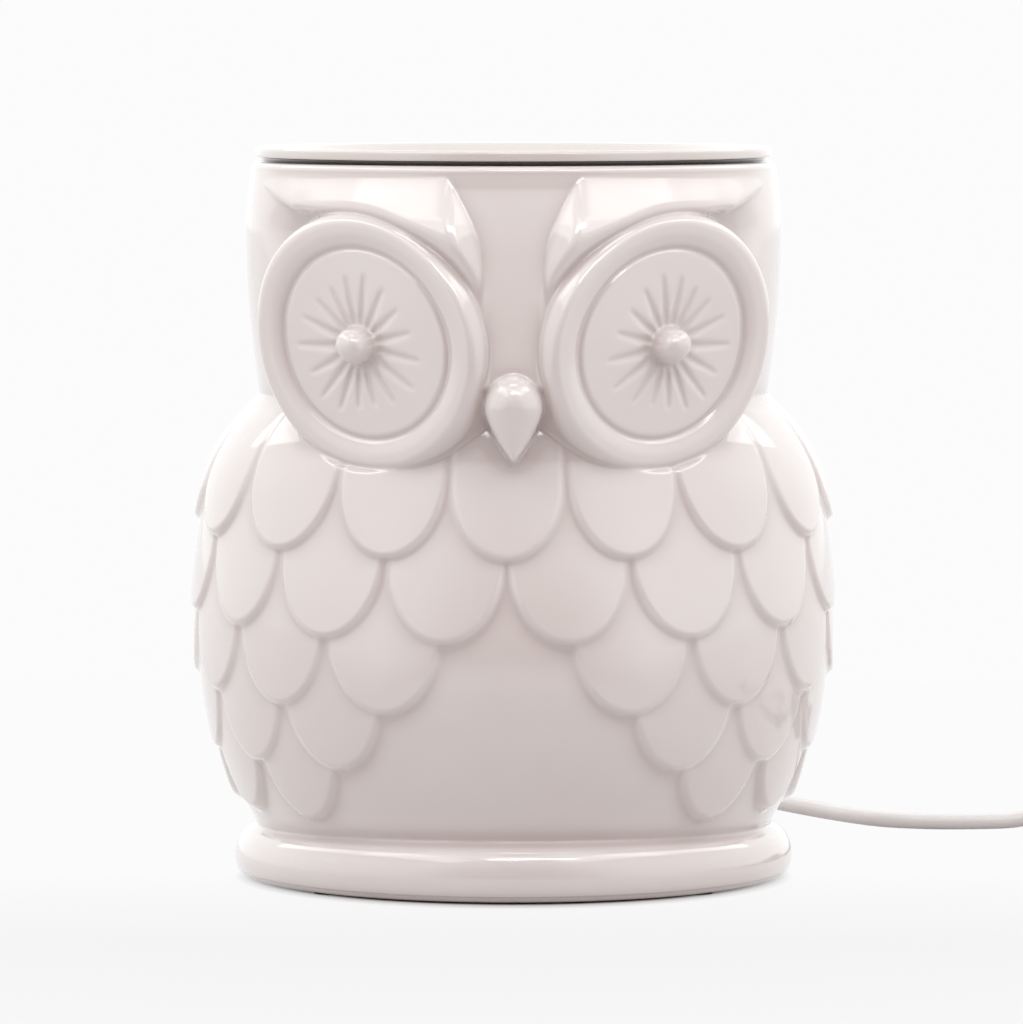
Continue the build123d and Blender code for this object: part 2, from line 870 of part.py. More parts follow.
# Leads from the holder contacts down to the front of the terminal block
with BuildPart() as lamp_leads:
    for side, place in zip((-1, 1), lead_places):
        entry = Vector(side * block_screw_spacing / 2, block_front, cord_height)
        turn = Vector(entry.X, block_front - lead_bend, cord_height)
        knee = Vector(place[0], place[1], cord_height + lead_bend)
        with BuildLine() as lead_line:
            FilletPolyline((*place, chamber_low), knee, turn, entry, radius=lead_turn)
        with BuildSketch(Plane((*place, chamber_low), z_dir=(0, 0, -1))):
            Circle(lead_radius)
        sweep(path=lead_line.wire())
lamp_leads.part.label = "lamp_leads"
export_step(lamp_leads.part, "parts/lamp_leads.step")

# Moulded strain relief in the rear boss, and the cord's tail inside
relief_start = boss_inner - relief_barb
with BuildPart() as strain_relief:
    relief_end = boss_face + relief_length
    with BuildSketch(Plane.XY.offset(cord_height)):
        with BuildLine():
            Polyline(
                (0, relief_start),
                (relief_barb_radius - relief_barb / 2, relief_start),
                (relief_barb_radius, boss_inner),
                (relief_radius - relief_clearance, boss_inner),
                (relief_radius - relief_clearance, boss_face),
                (relief_collar_radius, boss_face),
                (relief_collar_radius, boss_face + relief_collar),
                (relief_radius, boss_face + relief_collar),
                (relief_end_radius, relief_end),
                (0, relief_end),
                close=True,
            )
        make_face()
    revolve(axis=Axis((0, 0, cord_height), (0, 1, 0)))
strain_relief.part.label = "strain_relief"
export_step(strain_relief.part, "parts/strain_relief.step")

with BuildPart() as cord_tail:
    with BuildSketch(Plane.XZ.offset(-block_rear)):
        with Locations((0, cord_height)):
            SlotOverall(cord_width, cord_thickness)
    extrude(amount=block_rear - relief_start)
cord_tail.part.label = "cord_tail"
export_step(cord_tail.part, "parts/cord_tail.step")


def cord_run(name, points):
    """Flat cord along straight runs, with each corner's arc as large as its runs allow."""
    route = [Vector(*point) for point in points]
    radii = []
    for before, corner, after in zip(route, route[1:], route[2:]):
        run_in = corner - before
        run_out = after - corner
        half_turn = radians(run_in.get_angle(run_out) / 2)
        radii.append(bend_share * min(run_in.length, run_out.length) / tan(half_turn))
    with BuildLine() as centre:
        FilletPolyline(*route, radius=radii)
    path = centre.wire()
    heading = route[1] - route[0]
    across = Vector(heading.Y, -heading.X, 0)
    guide = path.moved(Location((0, 0, 2 * cord_width)))
    with BuildPart() as tube:
        with BuildSketch(Plane(route[0], x_dir=across, z_dir=heading)) as section:
            SlotOverall(cord_width, cord_thickness)
        sweep(path=path, binormal=guide)
    share = tube.part.volume / (section.sketch.area * path.length)
    print(name, "length", round(path.length, 1), "volume share", round(share, 4))
    print(name, "radii", [round(radius, 1) for radius in radii])
    return tube


mains_cord = cord_run("mains_cord", lead_route)
mains_cord.part.label = "mains_cord"
export_step(mains_cord.part, "parts/mains_cord.step")

switch_to_coil = cord_run("switch_to_coil", coil_route)
switch_to_coil.part.label = "switch_to_coil"
export_step(switch_to_coil.part, "parts/switch_to_coil.step")

# Coil: the cord winds in on the lower layer and out again on the upper one
coil_pitch = cord_width + coil_gap
layer_step = cord_thickness + coil_layer_gap
coil_start = Vector(*coil_route[-1])
coil_centre = Vector(coil_start.X - coil_outer, coil_start.Y - cord_width, coil_start.Z)
half_way = coil_turns / 2


def coil_point(turn):
    """Place on the coil's centre line after a number of turns."""
    radius = coil_outer - coil_pitch * (half_way - abs(turn - half_way))
    climb = min(max((turn - half_way) / coil_climb + 0.5, 0), 1)
    rise = layer_step * climb * climb * (3 - 2 * climb)
    angle = -2 * pi * turn
    return coil_centre + Vector(radius * cos(angle), radius * sin(angle), rise)


def coil_heading(turn):
    """Direction of the coil's centre line after a number of turns."""
    if turn in (0, coil_turns):
        return Vector(0, -1, 0)
    step = 0.001
    return (coil_point(turn + step) - coil_point(turn - step)).normalized()


coil_steps = [quarter / 4 for quarter in range(4 * coil_turns + 1)]
with BuildLine() as coil_line:
    Line(coil_start, coil_point(0))
    for first, last in zip(coil_steps, coil_steps[1:]):
        start, end = coil_point(first), coil_point(last)
        out, into = coil_heading(first), coil_heading(last)
        chord = end - start
        both = out + into
        spread = 1 - out.dot(into)
        along = chord.dot(both)
        reach = (sqrt(along * along + 2 * spread * chord.dot(chord)) - along) / (2 * spread)
        joint = (start + end + (out - into) * reach) * 0.5
        first_arc = TangentArc(start, joint, tangent=out)
        TangentArc(joint, end, tangent=first_arc % 1)
    coil_end = coil_point(coil_turns) - Vector(0, cord_width, 0)
    Line(coil_point(coil_turns), coil_end)

with BuildPart() as cord_coil:
    coil_path = coil_line.wire()
    with BuildSketch(Plane(coil_start, x_dir=(-1, 0, 0), z_dir=(0, -1, 0))) as coil_section:
        SlotOverall(cord_width, cord_thickness)
    sweep(path=coil_path)
cord_coil.part.label = "cord_coil"
export_step(cord_coil.part, "parts/cord_coil.step")

coil_samples = [
    coil_point(step / coil_samples_per_turn)
    for step in range(coil_samples_per_turn * coil_turns + 1)
]
flat = cord_width - cord_thickness
least_gap = min(
    hypot(max(hypot(a.X - b.X, a.Y - b.Y) - flat, 0), a.Z - b.Z) - cord_thickness
    for place, a in enumerate(coil_samples)
    for b in coil_samples[place + coil_samples_per_turn // 2 :]
)
coil_share = cord_coil.part.volume / (coil_section.sketch.area * coil_path.length)
print("cord_coil length", round(coil_path.length, 1), "volume share", round(coil_share, 4))
print("cord_coil least gap", round(least_gap, 2))

# Tie round all turns on the coil's far side
tie_inner = coil_outer - coil_pitch * (half_way - 0.5) - cord_width / 2 - tie_clearance
tie_outer = coil_outer - coil_pitch * 0.5 + cord_width / 2 + tie_clearance
tie_low = coil_centre.Z - cord_thickness / 2 - tie_gap
tie_high = coil_centre.Z + layer_step + cord_thickness / 2 + tie_gap
with BuildPart() as coil_tie:
    with BuildSketch(Plane.XZ.offset(-coil_centre.Y)):
        with Locations((coil_centre.X - (tie_inner + tie_outer) / 2, (tie_low + tie_high) / 2)):
            RectangleRounded(
                tie_outer - tie_inner + 2 * tie_thickness,
                tie_high - tie_low + 2 * tie_thickness,
                cord_thickness / 2,
            )
            RectangleRounded(
                tie_outer - tie_inner,
                tie_high - tie_low,
                cord_thickness / 2 - tie_thickness,
                mode=Mode.SUBTRACT,
            )
    extrude(amount=tie_width / 2, both=True)
coil_tie.part.label = "coil_tie"
export_step(coil_tie.part, "parts/coil_tie.step")

# In-line switch: two screwed halves, a rocker and two contact posts
switch_start = Vector(*lead_route[-1])
switch_x = switch_start.X + switch_length / 2
switch_y = switch_start.Y
rocker_room = rocker_length / 2 + rocker_gap
pivot_height = switch_height - trunnion_radius - switch_wall / 2
switch_screw_places = [
    (switch_x + side * switch_screw_spacing / 2, switch_y) for side in (-1, 1)
]
cover_cheek = rocker_width / 2 + rocker_gap / 2
switch_screw_end = switch_height - 2 * switch_wall

with BuildPart() as switch_base:
    with BuildSketch(Plane.XY):
        with Locations((switch_x, switch_y)):
            RectangleRounded(switch_length, switch_width, switch_corner)
    extrude(amount=switch_split)
    fillet(switch_base.edges().group_by(Axis.Z)[0], switch_edge)
    with BuildSketch(Plane.XY.offset(switch_wall)):
        with Locations((switch_x, switch_y)):
            RectangleRounded(
                switch_length - 2 * switch_wall,
                switch_width - 2 * switch_wall,
                switch_corner - switch_wall,
            )
        with Locations(*switch_screw_places):
            Circle(switch_boss_radius, mode=Mode.SUBTRACT)
    extrude(amount=switch_split - switch_wall, mode=Mode.SUBTRACT)
    with BuildSketch(Plane.XY):
        with Locations(*switch_screw_places):
            Circle(small_screw_head + hole_clearance)
    extrude(amount=small_screw_head_height + hole_clearance, mode=Mode.SUBTRACT)
    with BuildSketch(Plane.XY):
        with Locations(*switch_screw_places):
            Circle(small_screw_radius + hole_clearance)
    extrude(amount=switch_split, mode=Mode.SUBTRACT)
switch_base.part.label = "switch_base"
export_step(switch_base.part, "parts/switch_base.step")

with BuildPart() as switch_cover:
    with BuildSketch(Plane.XY.offset(switch_split)):
        with Locations((switch_x, switch_y)):
            RectangleRounded(switch_length, switch_width, switch_corner)
    extrude(amount=switch_height - switch_split)
    fillet(switch_cover.edges().group_by(Axis.Z)[-1], switch_edge)
    with BuildSketch(Plane.XY.offset(switch_split)):
        with Locations((switch_x, switch_y)):
            RectangleRounded(
                switch_length - 2 * switch_wall,
                switch_width - 2 * switch_wall,
                switch_corner - switch_wall,
            )
        with Locations(*switch_screw_places):
            Circle(switch_boss_radius, mode=Mode.SUBTRACT)
    extrude(amount=switch_height - switch_wall - switch_split, mode=Mode.SUBTRACT)
    with BuildSketch(Plane.XY.offset(switch_height)):
        with Locations((switch_x, switch_y)):
            Rectangle(2 * (rocker_room + switch_wall), 2 * (cover_cheek + trunnion_length + switch_wall))
    extrude(amount=-(switch_height - switch_split))
    with BuildSketch(Plane.XY.offset(switch_height)):
        with Locations((switch_x, switch_y)):
            Rectangle(2 * rocker_room, 2 * cover_cheek)
    extrude(amount=-(switch_height - switch_split), mode=Mode.SUBTRACT)
    with BuildSketch(Plane.XZ.offset(-switch_y)):
        with Locations((switch_x, pivot_height)):
            Circle(trunnion_radius + trunnion_clearance)
    extrude(amount=cover_cheek + trunnion_length, both=True, mode=Mode.SUBTRACT)
    with BuildSketch(Plane.XY.offset(switch_split)):
        with Locations(*switch_screw_places):
            Circle(small_screw_radius + thread_clearance)
    extrude(amount=switch_screw_end + hole_clearance - switch_split, mode=Mode.SUBTRACT)
switch_cover.part.label = "switch_cover"
export_step(switch_cover.part, "parts/switch_cover.step")

# Rocker: a shallow dip between two pads, one end down, turning on its own trunnions
tilt = radians(rocker_tilt)
rocker_plane = Plane(
    (switch_x, switch_y, pivot_height), x_dir=(cos(tilt), 0, -sin(tilt)), z_dir=(0, -1, 0)
)
with BuildPart() as switch_rocker:
    rocker_top = switch_height - pivot_height + rocker_rise
    with BuildSketch(rocker_plane) as rocker_outline:
        with BuildLine():
            dip = ThreePointArc(
                (-rocker_length / 2, rocker_top),
                (0, rocker_top - rocker_rise / 2),
                (rocker_length / 2, rocker_top),
            )
            Polyline(
                dip @ 1,
                (rocker_length / 2, 0),
                (rocker_length / 4, -rocker_depth / 2),
                (-rocker_length / 4, -rocker_depth / 2),
                (-rocker_length / 2, 0),
                dip @ 0,
            )
        make_face()
        fillet(rocker_outline.vertices().group_by(Axis.Y)[-1], rocker_round)
    extrude(amount=rocker_width / 2, both=True)
    with BuildSketch(rocker_plane):
        Circle(trunnion_radius)
    extrude(amount=cover_cheek + trunnion_length - rocker_gap / 2, both=True)
switch_rocker.part.label = "switch_rocker"
export_step(switch_rocker.part, "parts/switch_rocker.step")

switch_screws = pan_screws(
    switch_screw_places,
    small_screw_head,
    small_screw_head_height,
    small_screw_radius,
    small_screw_head_height + hole_clearance,
    switch_screw_end,
)
switch_screws.part.label = "switch_screws"
export_step(switch_screws.part, "parts/switch_screws.step")

with BuildPart() as switch_contacts:
    with BuildSketch(Plane.XY.offset(switch_wall)):
        with Locations((switch_x, switch_y)):
            with GridLocations(post_spacing, 1, 2, 1):
                Rectangle(*post_size[:2])
    extrude(amount=post_size[2])
switch_contacts.part.label = "switch_contacts"
export_step(switch_contacts.part, "parts/switch_contacts.step")

# Plug with its pins along -Y, and the last stretch of cord up to its neck
plug_height = plug_thickness / 2
plug_start = coil_end.Y - plug_tail
coil_to_plug = cord_run(
    "coil_to_plug",
    [
        coil_end,
        (coil_end.X, coil_end.Y - plug_straight, coil_end.Z),
        (coil_end.X, plug_start + plug_straight, plug_height),
        (coil_end.X, plug_start, plug_height),
    ],
)
coil_to_plug.part.label = "coil_to_plug"
export_step(coil_to_plug.part, "parts/coil_to_plug.step")

plug_nose = plug_start - plug_length
pin_places = [
    (coil_end.X - plug_pin_pitch / 2, plug_height),
    (coil_end.X + plug_pin_pitch / 2, plug_height),
]
with BuildPart() as plug_body:
    with BuildSketch(Plane.XZ.offset(-plug_nose)):
        with Locations((coil_end.X, plug_height)):
            RectangleRounded(plug_width, plug_thickness, plug_thickness * plug_corner_share)
    extrude(amount=-plug_front)
    with BuildSketch(Plane.XZ.offset(-plug_nose - plug_front)):
        with Locations((coil_end.X, plug_height)):
            RectangleRounded(plug_width, plug_thickness, plug_thickness * plug_corner_share)
    with BuildSketch(Plane.XZ.offset(-plug_start)):
        with Locations((coil_end.X, plug_height)):
            RectangleRounded(*plug_neck, plug_neck[1] * plug_corner_share)
    loft()
    with BuildSketch(Plane.XZ.offset(-plug_nose)):
        with Locations(*pin_places):
            Circle(sleeve_radius + sleeve_clearance)
    extrude(amount=-plug_pin_root, mode=Mode.SUBTRACT)
plug_body.part.label = "plug_body"
export_step(plug_body.part, "parts/plug_body.step")

pin_end = plug_nose - plug_pin_length
tip_start = pin_end + plug_pin_tip
with BuildPart() as pin_sleeves:
    with BuildSketch(Plane.XZ.offset(-plug_nose - plug_pin_root)):
        with Locations(*pin_places):
            Circle(sleeve_radius)
            Circle(plug_pin_core + sleeve_clearance, mode=Mode.SUBTRACT)
    extrude(amount=plug_nose + plug_pin_root - tip_start)
pin_sleeves.part.label = "pin_sleeves"
export_step(pin_sleeves.part, "parts/pin_sleeves.step")

with BuildPart() as plug_pins:
    with BuildSketch(Plane.XZ.offset(-tip_start)):
        with Locations(*pin_places):
            Circle(plug_pin_radius)
    extrude(amount=plug_pin_tip)
    fillet(plug_pins.edges().group_by(Axis.Y)[0], plug_pin_round)
    with BuildSketch(Plane.XZ.offset(-plug_nose - plug_pin_root)):
        with Locations(*pin_places):
            Circle(plug_pin_core)
    extrude(amount=plug_nose + plug_pin_root - tip_start)
plug_pins.part.label = "plug_pins"
export_step(plug_pins.part, "parts/plug_pins.step")
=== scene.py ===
import json
from math import atan, cos, pi, radians, sin

import bpy
import numpy as np
from mathutils import Matrix


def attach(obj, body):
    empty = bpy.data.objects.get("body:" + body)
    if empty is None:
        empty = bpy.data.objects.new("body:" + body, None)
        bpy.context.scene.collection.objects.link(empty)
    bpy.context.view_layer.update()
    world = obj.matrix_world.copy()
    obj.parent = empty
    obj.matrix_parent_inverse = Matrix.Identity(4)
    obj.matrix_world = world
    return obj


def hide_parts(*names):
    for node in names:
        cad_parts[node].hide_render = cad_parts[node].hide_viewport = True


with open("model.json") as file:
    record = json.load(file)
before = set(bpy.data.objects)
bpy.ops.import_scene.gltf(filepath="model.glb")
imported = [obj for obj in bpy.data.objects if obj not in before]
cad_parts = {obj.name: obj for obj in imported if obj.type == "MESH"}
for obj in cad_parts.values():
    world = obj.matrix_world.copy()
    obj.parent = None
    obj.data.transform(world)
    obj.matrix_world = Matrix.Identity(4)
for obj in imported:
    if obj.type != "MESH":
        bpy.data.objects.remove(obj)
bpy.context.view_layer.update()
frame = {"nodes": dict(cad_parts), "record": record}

# Sizes in this file are millimetres and degrees; meshes and curves are scaled to metres.
# Lengths of cord, the floor, the surround and the lamps are given in metres.
# Angles round the owl are measured from its front, which looks along -Y, towards +X.
MM = 0.001
IMAGE_HEIGHT = 1024

# Camera, as the photograph was taken
CAMERA_DISTANCE = 1470.0
CAMERA_HEIGHT = 176.0
CAMERA_FOCUS_PIXELS = 7138.0
HORIZON_ROW = 19.6
AXIS_SHIFT_PIXELS = 2.0

# Ceramic shell, the plain body: radius and height of each place where its side line changes
PAD_THICKNESS = 0.8
SKIRT_LOW = 0.3
SKIRT_RADIUS = 55.0
SKIRT_BEVEL = 0.5
FOOT_EDGE = (56.4, 0.8)
FOOT_WIDEST = (57.2, 4.7)
FOOT_FLARE = 0.3
CREASE = (52.4, 10.4)
BELLY = (64.6, 55.6)
SHOULDER = (63.0, 79.0)
NECK = (51.7, 99.0)
HEAD = (54.6, 131.0)
RIM = (53.4, 146.0)
RIM_LIP = 147.0
RIM_ROUNDING = 1.4
FOOT_ROUNDING = 1.2
CREASE_RISE = 1.7
CREASE_SOFTNESS = 1.0
NECK_SOFTNESS = 1.2

# How far each stretch of the side line runs on past the place where it meets the next
FOOT_OVERLAP = 2.0
BELLY_OVERLAP = 3.0
HEAD_OVERLAP = 6.0

# Inside of the shell
RIM_INSET = 0.6
MOUTH_RADIUS = 46.5
MOUTH_ROUNDING = 1.4
COLLAR_HEIGHT = 80.0
COLLAR_INSET = 0.6
CAVITY = (60.4, 55.0)
CAVITY_FOOT = (47.4, 10.0)
CAVITY_INSET = 0.5
FLOOR_LOW = 5.6
FLOOR_HOLE = 37.0
FLOOR_ROUNDING = 0.8
RECESS_RADIUS = 48.4
RECESS_ROUNDING = 0.4

# Fineness of the shell's mesh: more columns on the front, up to an angle either side
FRONT_REACH = 80.0
FRONT_COLUMNS = 560
BACK_COLUMNS = 260
SIDE_ROWS = 480
LIP_ROWS = 9
CAVITY_ROWS = (12, 14)

# Feathers: heights of the tips at the front and at the sides, and the angle that each row leaves bare
FEATHER_COUNT = 16
FEATHER_TURN = -1.2
FEATHER_ROWS = (
    (69.0, 73.2, 0.0),
    (52.6, 55.9, 0.0),
    (37.9, 41.2, 11.0),
    (26.0, 26.9, 22.0),
    (15.2, 15.2, 33.0),
)
FEATHER_FILL = 0.97
FEATHER_END = 16.5
FEATHER_LENGTH = 32.0
FEATHER_LIFT = 2.1
FEATHER_PILLOW = 0.3
FEATHER_EDGE = 2.4
FEATHER_SOFTNESS = 0.8

# Eyes: a round disc each, with a raised ring and a flat iris; the lean is a slope, a bend and its reach
EYE_ANGLE = 30.4
EYE_HEIGHT = 111.6
EYE_RADIUS = 26.3
EYE_LEAN = (0.135, 0.055, 6.0)
EYE_REACH = 40.0
EYE_MARGIN = 3.0
EYE_FRONT_MARGIN = 1.0
EYE_WALL = 4.0
EYE_SOFTNESS = 0.6
EYE_HALVINGS = 17
RING_FACE = 59.0
RING_CREST = 23.6
RING_TOP = 22.4
RING_DROP = 4.4
IRIS_RADIUS = 19.0
IRIS_FACE = 58.3
IRIS_DOME = 0.3
IRIS_GROOVE = 0.6
IRIS_GROOVE_WIDTH = 0.55

# Pupil: a bead, set a little outward and down from the eye's middle
PUPIL_RADIUS = 3.6
PUPIL_CENTRE = 60.6
PUPIL_PLACE = (1.4, -0.4)
PUPIL_SOFTNESS = 1.2

# Rays cut into the iris: width and depth at both ends; sway and spread make them a little uneven
RAY_COUNT = 17
RAY_INNER = 4.4
RAY_OUTER = 13.4
RAY_WIDTH = (0.95, 0.45)
RAY_DEPTH = (0.6, 0.25)
RAY_SWAY = 0.22
RAY_SWAY_WAVE = 7.0
RAY_SPREAD = 1.2
RAY_SPREAD_WAVE = 5.0
RAY_START = 1.0
RAY_STOP = (0.6, 1.0)

# Hollows that hold the eyes, and the chest under the beak
SOCKET_FACE = 56.2
SOCKET_RADIUS = 24.0
SOCKET_SLOPE = 1.8
SOCKET_SOFTNESS = 0.9
SOCKET_REACH = 60.0
CHEST_FACE = 57.4
CHEST_HEIGHT = 88.6
CHEST_SLOPE = 0.24
CHEST_WIDTH = (16.0, 74.0)
CHEST_SPREAD = 8.5
CHEST_SOFTNESS = 5.0

# Brow: it fades between two angles, and its edge has three widths, from over the eye to beside it.
# Each turn of the edge is between two heights over the eye's middle, as shares of the distance from it.
BROW_TILT = 0.56
BROW_LIFT = 6.0
BROW_SOFTNESS = 2.0
BROW_FADE = (84.0, 52.0)
BROW_GAP = -2.0
BROW_LOW = 101.0
BROW_EDGE = (4.0, 6.5, 3.0)
BROW_EDGE_TURNS = ((0.95, 0.65), (0.5, 0.15))

# Channel down the middle of the brow, which ends below as the bridge between the eyes
CHANNEL_PLACES = ((61.6, 108.0), (58.2, 128.0), (53.6, 145.0))
CHANNEL_HEIGHTS = (127.0, 133.0, 140.0, 142.5)
CHANNEL_WIDTHS = (5.6, 6.4, 10.0, 11.8)
CHANNEL_BLUR = (-2.4, -1.2, 0.0, 1.2, 2.4)
CHANNEL_SLOPE = 0.8
CHANNEL_SOFTNESS = 1.0

# Ear tufts, with a pocket under each
EAR_BLEND = (33.0, 50.0)
EAR_LINE = ((34.0, 138.2), (51.0, 137.0), (70.0, 142.6))
EAR_EDGE = 2.4
EAR_END = 73.0
POCKET_PLACE = (51.0, 133.4)
POCKET_SIZE = (9.0, 4.6)
POCKET_DEPTH = 2.2

# Beak
BEAK_ROOT = 60.2
BEAK_REACH = 6.2
BEAK_TIP_REACH = 3.8
BEAK_HALF = 6.2
BEAK_LEAST_HALF = 0.1
BEAK_TOP = 106.2
BEAK_WIDEST = 99.3
BEAK_TIP = 88.1
BEAK_POINT = 1.6
BEAK_ANGLE = 30.0
BEAK_SOFTNESS = 0.5

# Boss for the cord at the back
BOSS_FACE = 58.2
BOSS_RADIUS = 8.8
BOSS_HEIGHT = 16.8
BOSS_EDGE = (0.8, -0.4)
BOSS_REACH = 20.0

# Stain of the glaze where it gathers, partly painted shade in grooves and between feathers: blur passes,
# depth of a full hollow and stain, for grooves and for broad hollows
POOL_AND_SHADE_PASSES = ((12, 0.5, 0.2), (110, 1.0, 0.5))
POOL_AND_SHADE_MOST = 0.24
# Painted shade on the first rows inside the rim, under the dish
RIM_PAINTED_SHADE = 0.9
RIM_PAINTED_SHADE_ROWS = 6

# Wax dish; painted shadow: the gap under its edge is coloured near black from inside the spigot to inside
# the edge, up to its underside
DISH_RADIUS = 53.0
DISH_TOP = 150.0
DISH_SEAT = 146.0
DISH_SEAT_RADIUS = 51.4
DISH_SEAT_FLARE = 0.6
DISH_SEAT_ROUNDING = 0.1
DISH_EDGE_LOW = 147.9
DISH_EDGE_ROUNDING = 0.45
DISH_FLOOR = 138.5
DISH_BOTTOM = 134.5
DISH_FLOOR_RADIUS = 29.0
DISH_SPIGOT = 45.7
DISH_SPIGOT_WALL = 3.0
DISH_SPIGOT_DROP = 0.8
DISH_LIP = 2.4
DISH_LIP_ROUNDING = 0.9
DISH_CENTRE = (0.02, 0.3, 8.0, 20.0)
DISH_PAINTED_SHADOW = (1.0, 0.5, 0.1)
DISH_COLUMNS = 240
DISH_BOWL_ROWS = 14

# Straight bit beside each rounded corner of a side line, where corners lie close together
CLOSE_GUARD = 0.1

# Cord: a flat twin cord, its width lying flat
CORD_WIDTH = 5.2
CORD_THICKNESS = 3.2
CORD_WAIST = 0.2
CORD_EDGE_STEPS = 8
CORD_STEPS = 6
LEAD_ROUTE = (
    (0.0, 73.2, 16.8),
    (0.0, 88.0, 16.8),
    (7.8, 102.6, 15.0),
    (22.5, 111.1, 11.6),
    (39.5, 110.5, 7.6),
    (53.6, 101.0, 4.2),
    (76.5, 82.0, 1.9),
    (88.0, 77.8, 1.6),
    (99.5, 77.3, 1.6),
    (111.5, 79.4, 1.7),
    (121.0, 80.0, 5.0),
    (131.0, 80.0, 5.0),
)
COIL_ROUTE = (
    (189.0, 80.0, 5.0),
    (201.0, 80.0, 5.0),
    (215.5, 74.6, 2.8),
    (225.8, 62.3, 2.6),
    (229.2, 46.2, 2.6),
    (229.2, 30.0, 2.6),
)
PLUG_ROUTE = (
    (229.2, 19.6, 6.4),
    (229.2, 13.4, 6.4),
    (229.2, 5.0, 6.8),
    (229.2, -1.2, 6.8),
)
COIL_CENTRE = (190.7, 24.8, 2.6)
COIL_OUTER = 38.5
COIL_PITCH = 5.8
COIL_TURNS = 6
COIL_STEPS = 24
COIL_RISE = 3.8
COIL_CLIMB = 0.5


def place_camera():
    data = bpy.data.cameras.new("camera")
    data.lens = CAMERA_FOCUS_PIXELS / IMAGE_HEIGHT * data.sensor_width
    camera = bpy.data.objects.new("camera", data)
    bpy.context.collection.objects.link(camera)
    pitch = pi / 2 - atan((IMAGE_HEIGHT / 2 - HORIZON_ROW) / CAMERA_FOCUS_PIXELS)
    yaw = AXIS_SHIFT_PIXELS / CAMERA_FOCUS_PIXELS
    camera.matrix_world = (
        Matrix.Translation((0, -CAMERA_DISTANCE * MM, CAMERA_HEIGHT * MM))
        @ Matrix.Rotation(yaw, 4, "Z")
        @ Matrix.Rotation(pitch, 4, "X")
    )
    bpy.context.scene.camera = camera


place_camera()


# Shader helpers; a mix node's colours have these socket numbers
MIX_COLOURS = (6, 7)
MIX_RESULT = 2


def new_material(name):
    material = bpy.data.materials.new(name)
    material.use_nodes = True
    return material, material.node_tree, material.node_tree.nodes["Principled BSDF"]


def link(tree, output, target):
    tree.links.new(output, target)


def math_node(tree, operation, first, second):
    node = tree.nodes.new("ShaderNodeMath")
    node.operation = operation
    for socket, value in zip(node.inputs, (first, second)):
        if isinstance(value, (int, float)):
            socket.default_value = value
        else:
            link(tree, value, socket)
    return node.outputs[0]


def noise_node(tree, scale, detail=3.0, stretch=(1, 1, 1)):
    coords = tree.nodes.new("ShaderNodeTexCoord")
    mapping = tree.nodes.new("ShaderNodeMapping")
    mapping.inputs["Scale"].default_value = stretch
    noise = tree.nodes.new("ShaderNodeTexNoise")
    noise.inputs["Scale"].default_value = scale
    noise.inputs["Detail"].default_value = detail
    link(tree, coords.outputs["Object"], mapping.inputs["Vector"])
    link(tree, mapping.outputs["Vector"], noise.inputs["Vector"])
    return noise.outputs["Fac"]


def range_node(tree, value, low, high, to_low, to_high):
    node = tree.nodes.new("ShaderNodeMapRange")
    for place, number in enumerate((low, high, to_low, to_high), start=1):
        node.inputs[place].default_value = number
    link(tree, value, node.inputs[0])
    return node.outputs[0]


def mix_node(tree, factor, first, second):
    node = tree.nodes.new("ShaderNodeMix")
    node.data_type = "RGBA"
    sockets = (node.inputs["Factor"], *[node.inputs[place] for place in MIX_COLOURS])
    for socket, value in zip(sockets, (factor, first, second)):
        if isinstance(value, bpy.types.NodeSocket):
            link(tree, value, socket)
        else:
            socket.default_value = (*value, 1.0)
    return node.outputs[MIX_RESULT]


def distance_node(tree, value, place):
    node = tree.nodes.new("ShaderNodeVectorMath")
    node.operation = "DISTANCE"
    node.inputs[1].default_value = place
    link(tree, value, node.inputs[0])
    return node.outputs["Value"]


def bump_node(tree, height, depth):
    node = tree.nodes.new("ShaderNodeBump")
    node.inputs["Distance"].default_value = depth * MM
    link(tree, height, node.inputs["Height"])
    return node.outputs["Normal"]


# Materials: the stretch of a noise's values that is used, and the scales of the glaze's noises
DRIFT_RANGE = (0.35, 0.7)
FINE_RANGE = (0.3, 0.7)
DRIFT_COARSENESS = 4
DRIFT_DETAIL = 4.0
FINE_DETAIL = 5.0
GLAZE_CLOUD = 28.0
GLAZE_GRAIN = 260.0
GLAZE_RIPPLE = 70.0
GLAZE_RIPPLE_DETAIL = 2.0
GLAZE_SPECKLE = 900.0
GLAZE_SPECKLE_SHARE = 0.05
GLAZE_BUMP = 0.12
GLAZE_SPECULAR = 0.7
GLAZE_COAT = 1.0
GLAZE_COAT_ROUGHNESS = 0.07


def surface(name, colour, tint, grain, rough, bump, stretch=(1, 1, 1), **constants):
    """Colour that drifts to a tint, with roughness and fine relief from the same grain."""
    material, tree, shader = new_material(name)
    drift = noise_node(tree, grain / DRIFT_COARSENESS, DRIFT_DETAIL, stretch)
    fine = noise_node(tree, grain, FINE_DETAIL, stretch)
    blend = range_node(tree, drift, *DRIFT_RANGE, 0.0, 1.0)
    link(tree, mix_node(tree, blend, colour, tint), shader.inputs["Base Color"])
    link(tree, range_node(tree, fine, *FINE_RANGE, *rough), shader.inputs["Roughness"])
    link(tree, bump_node(tree, fine, bump), shader.inputs["Normal"])
    for socket, value in constants.items():
        shader.inputs[socket.replace("_", " ")].default_value = value
    return material


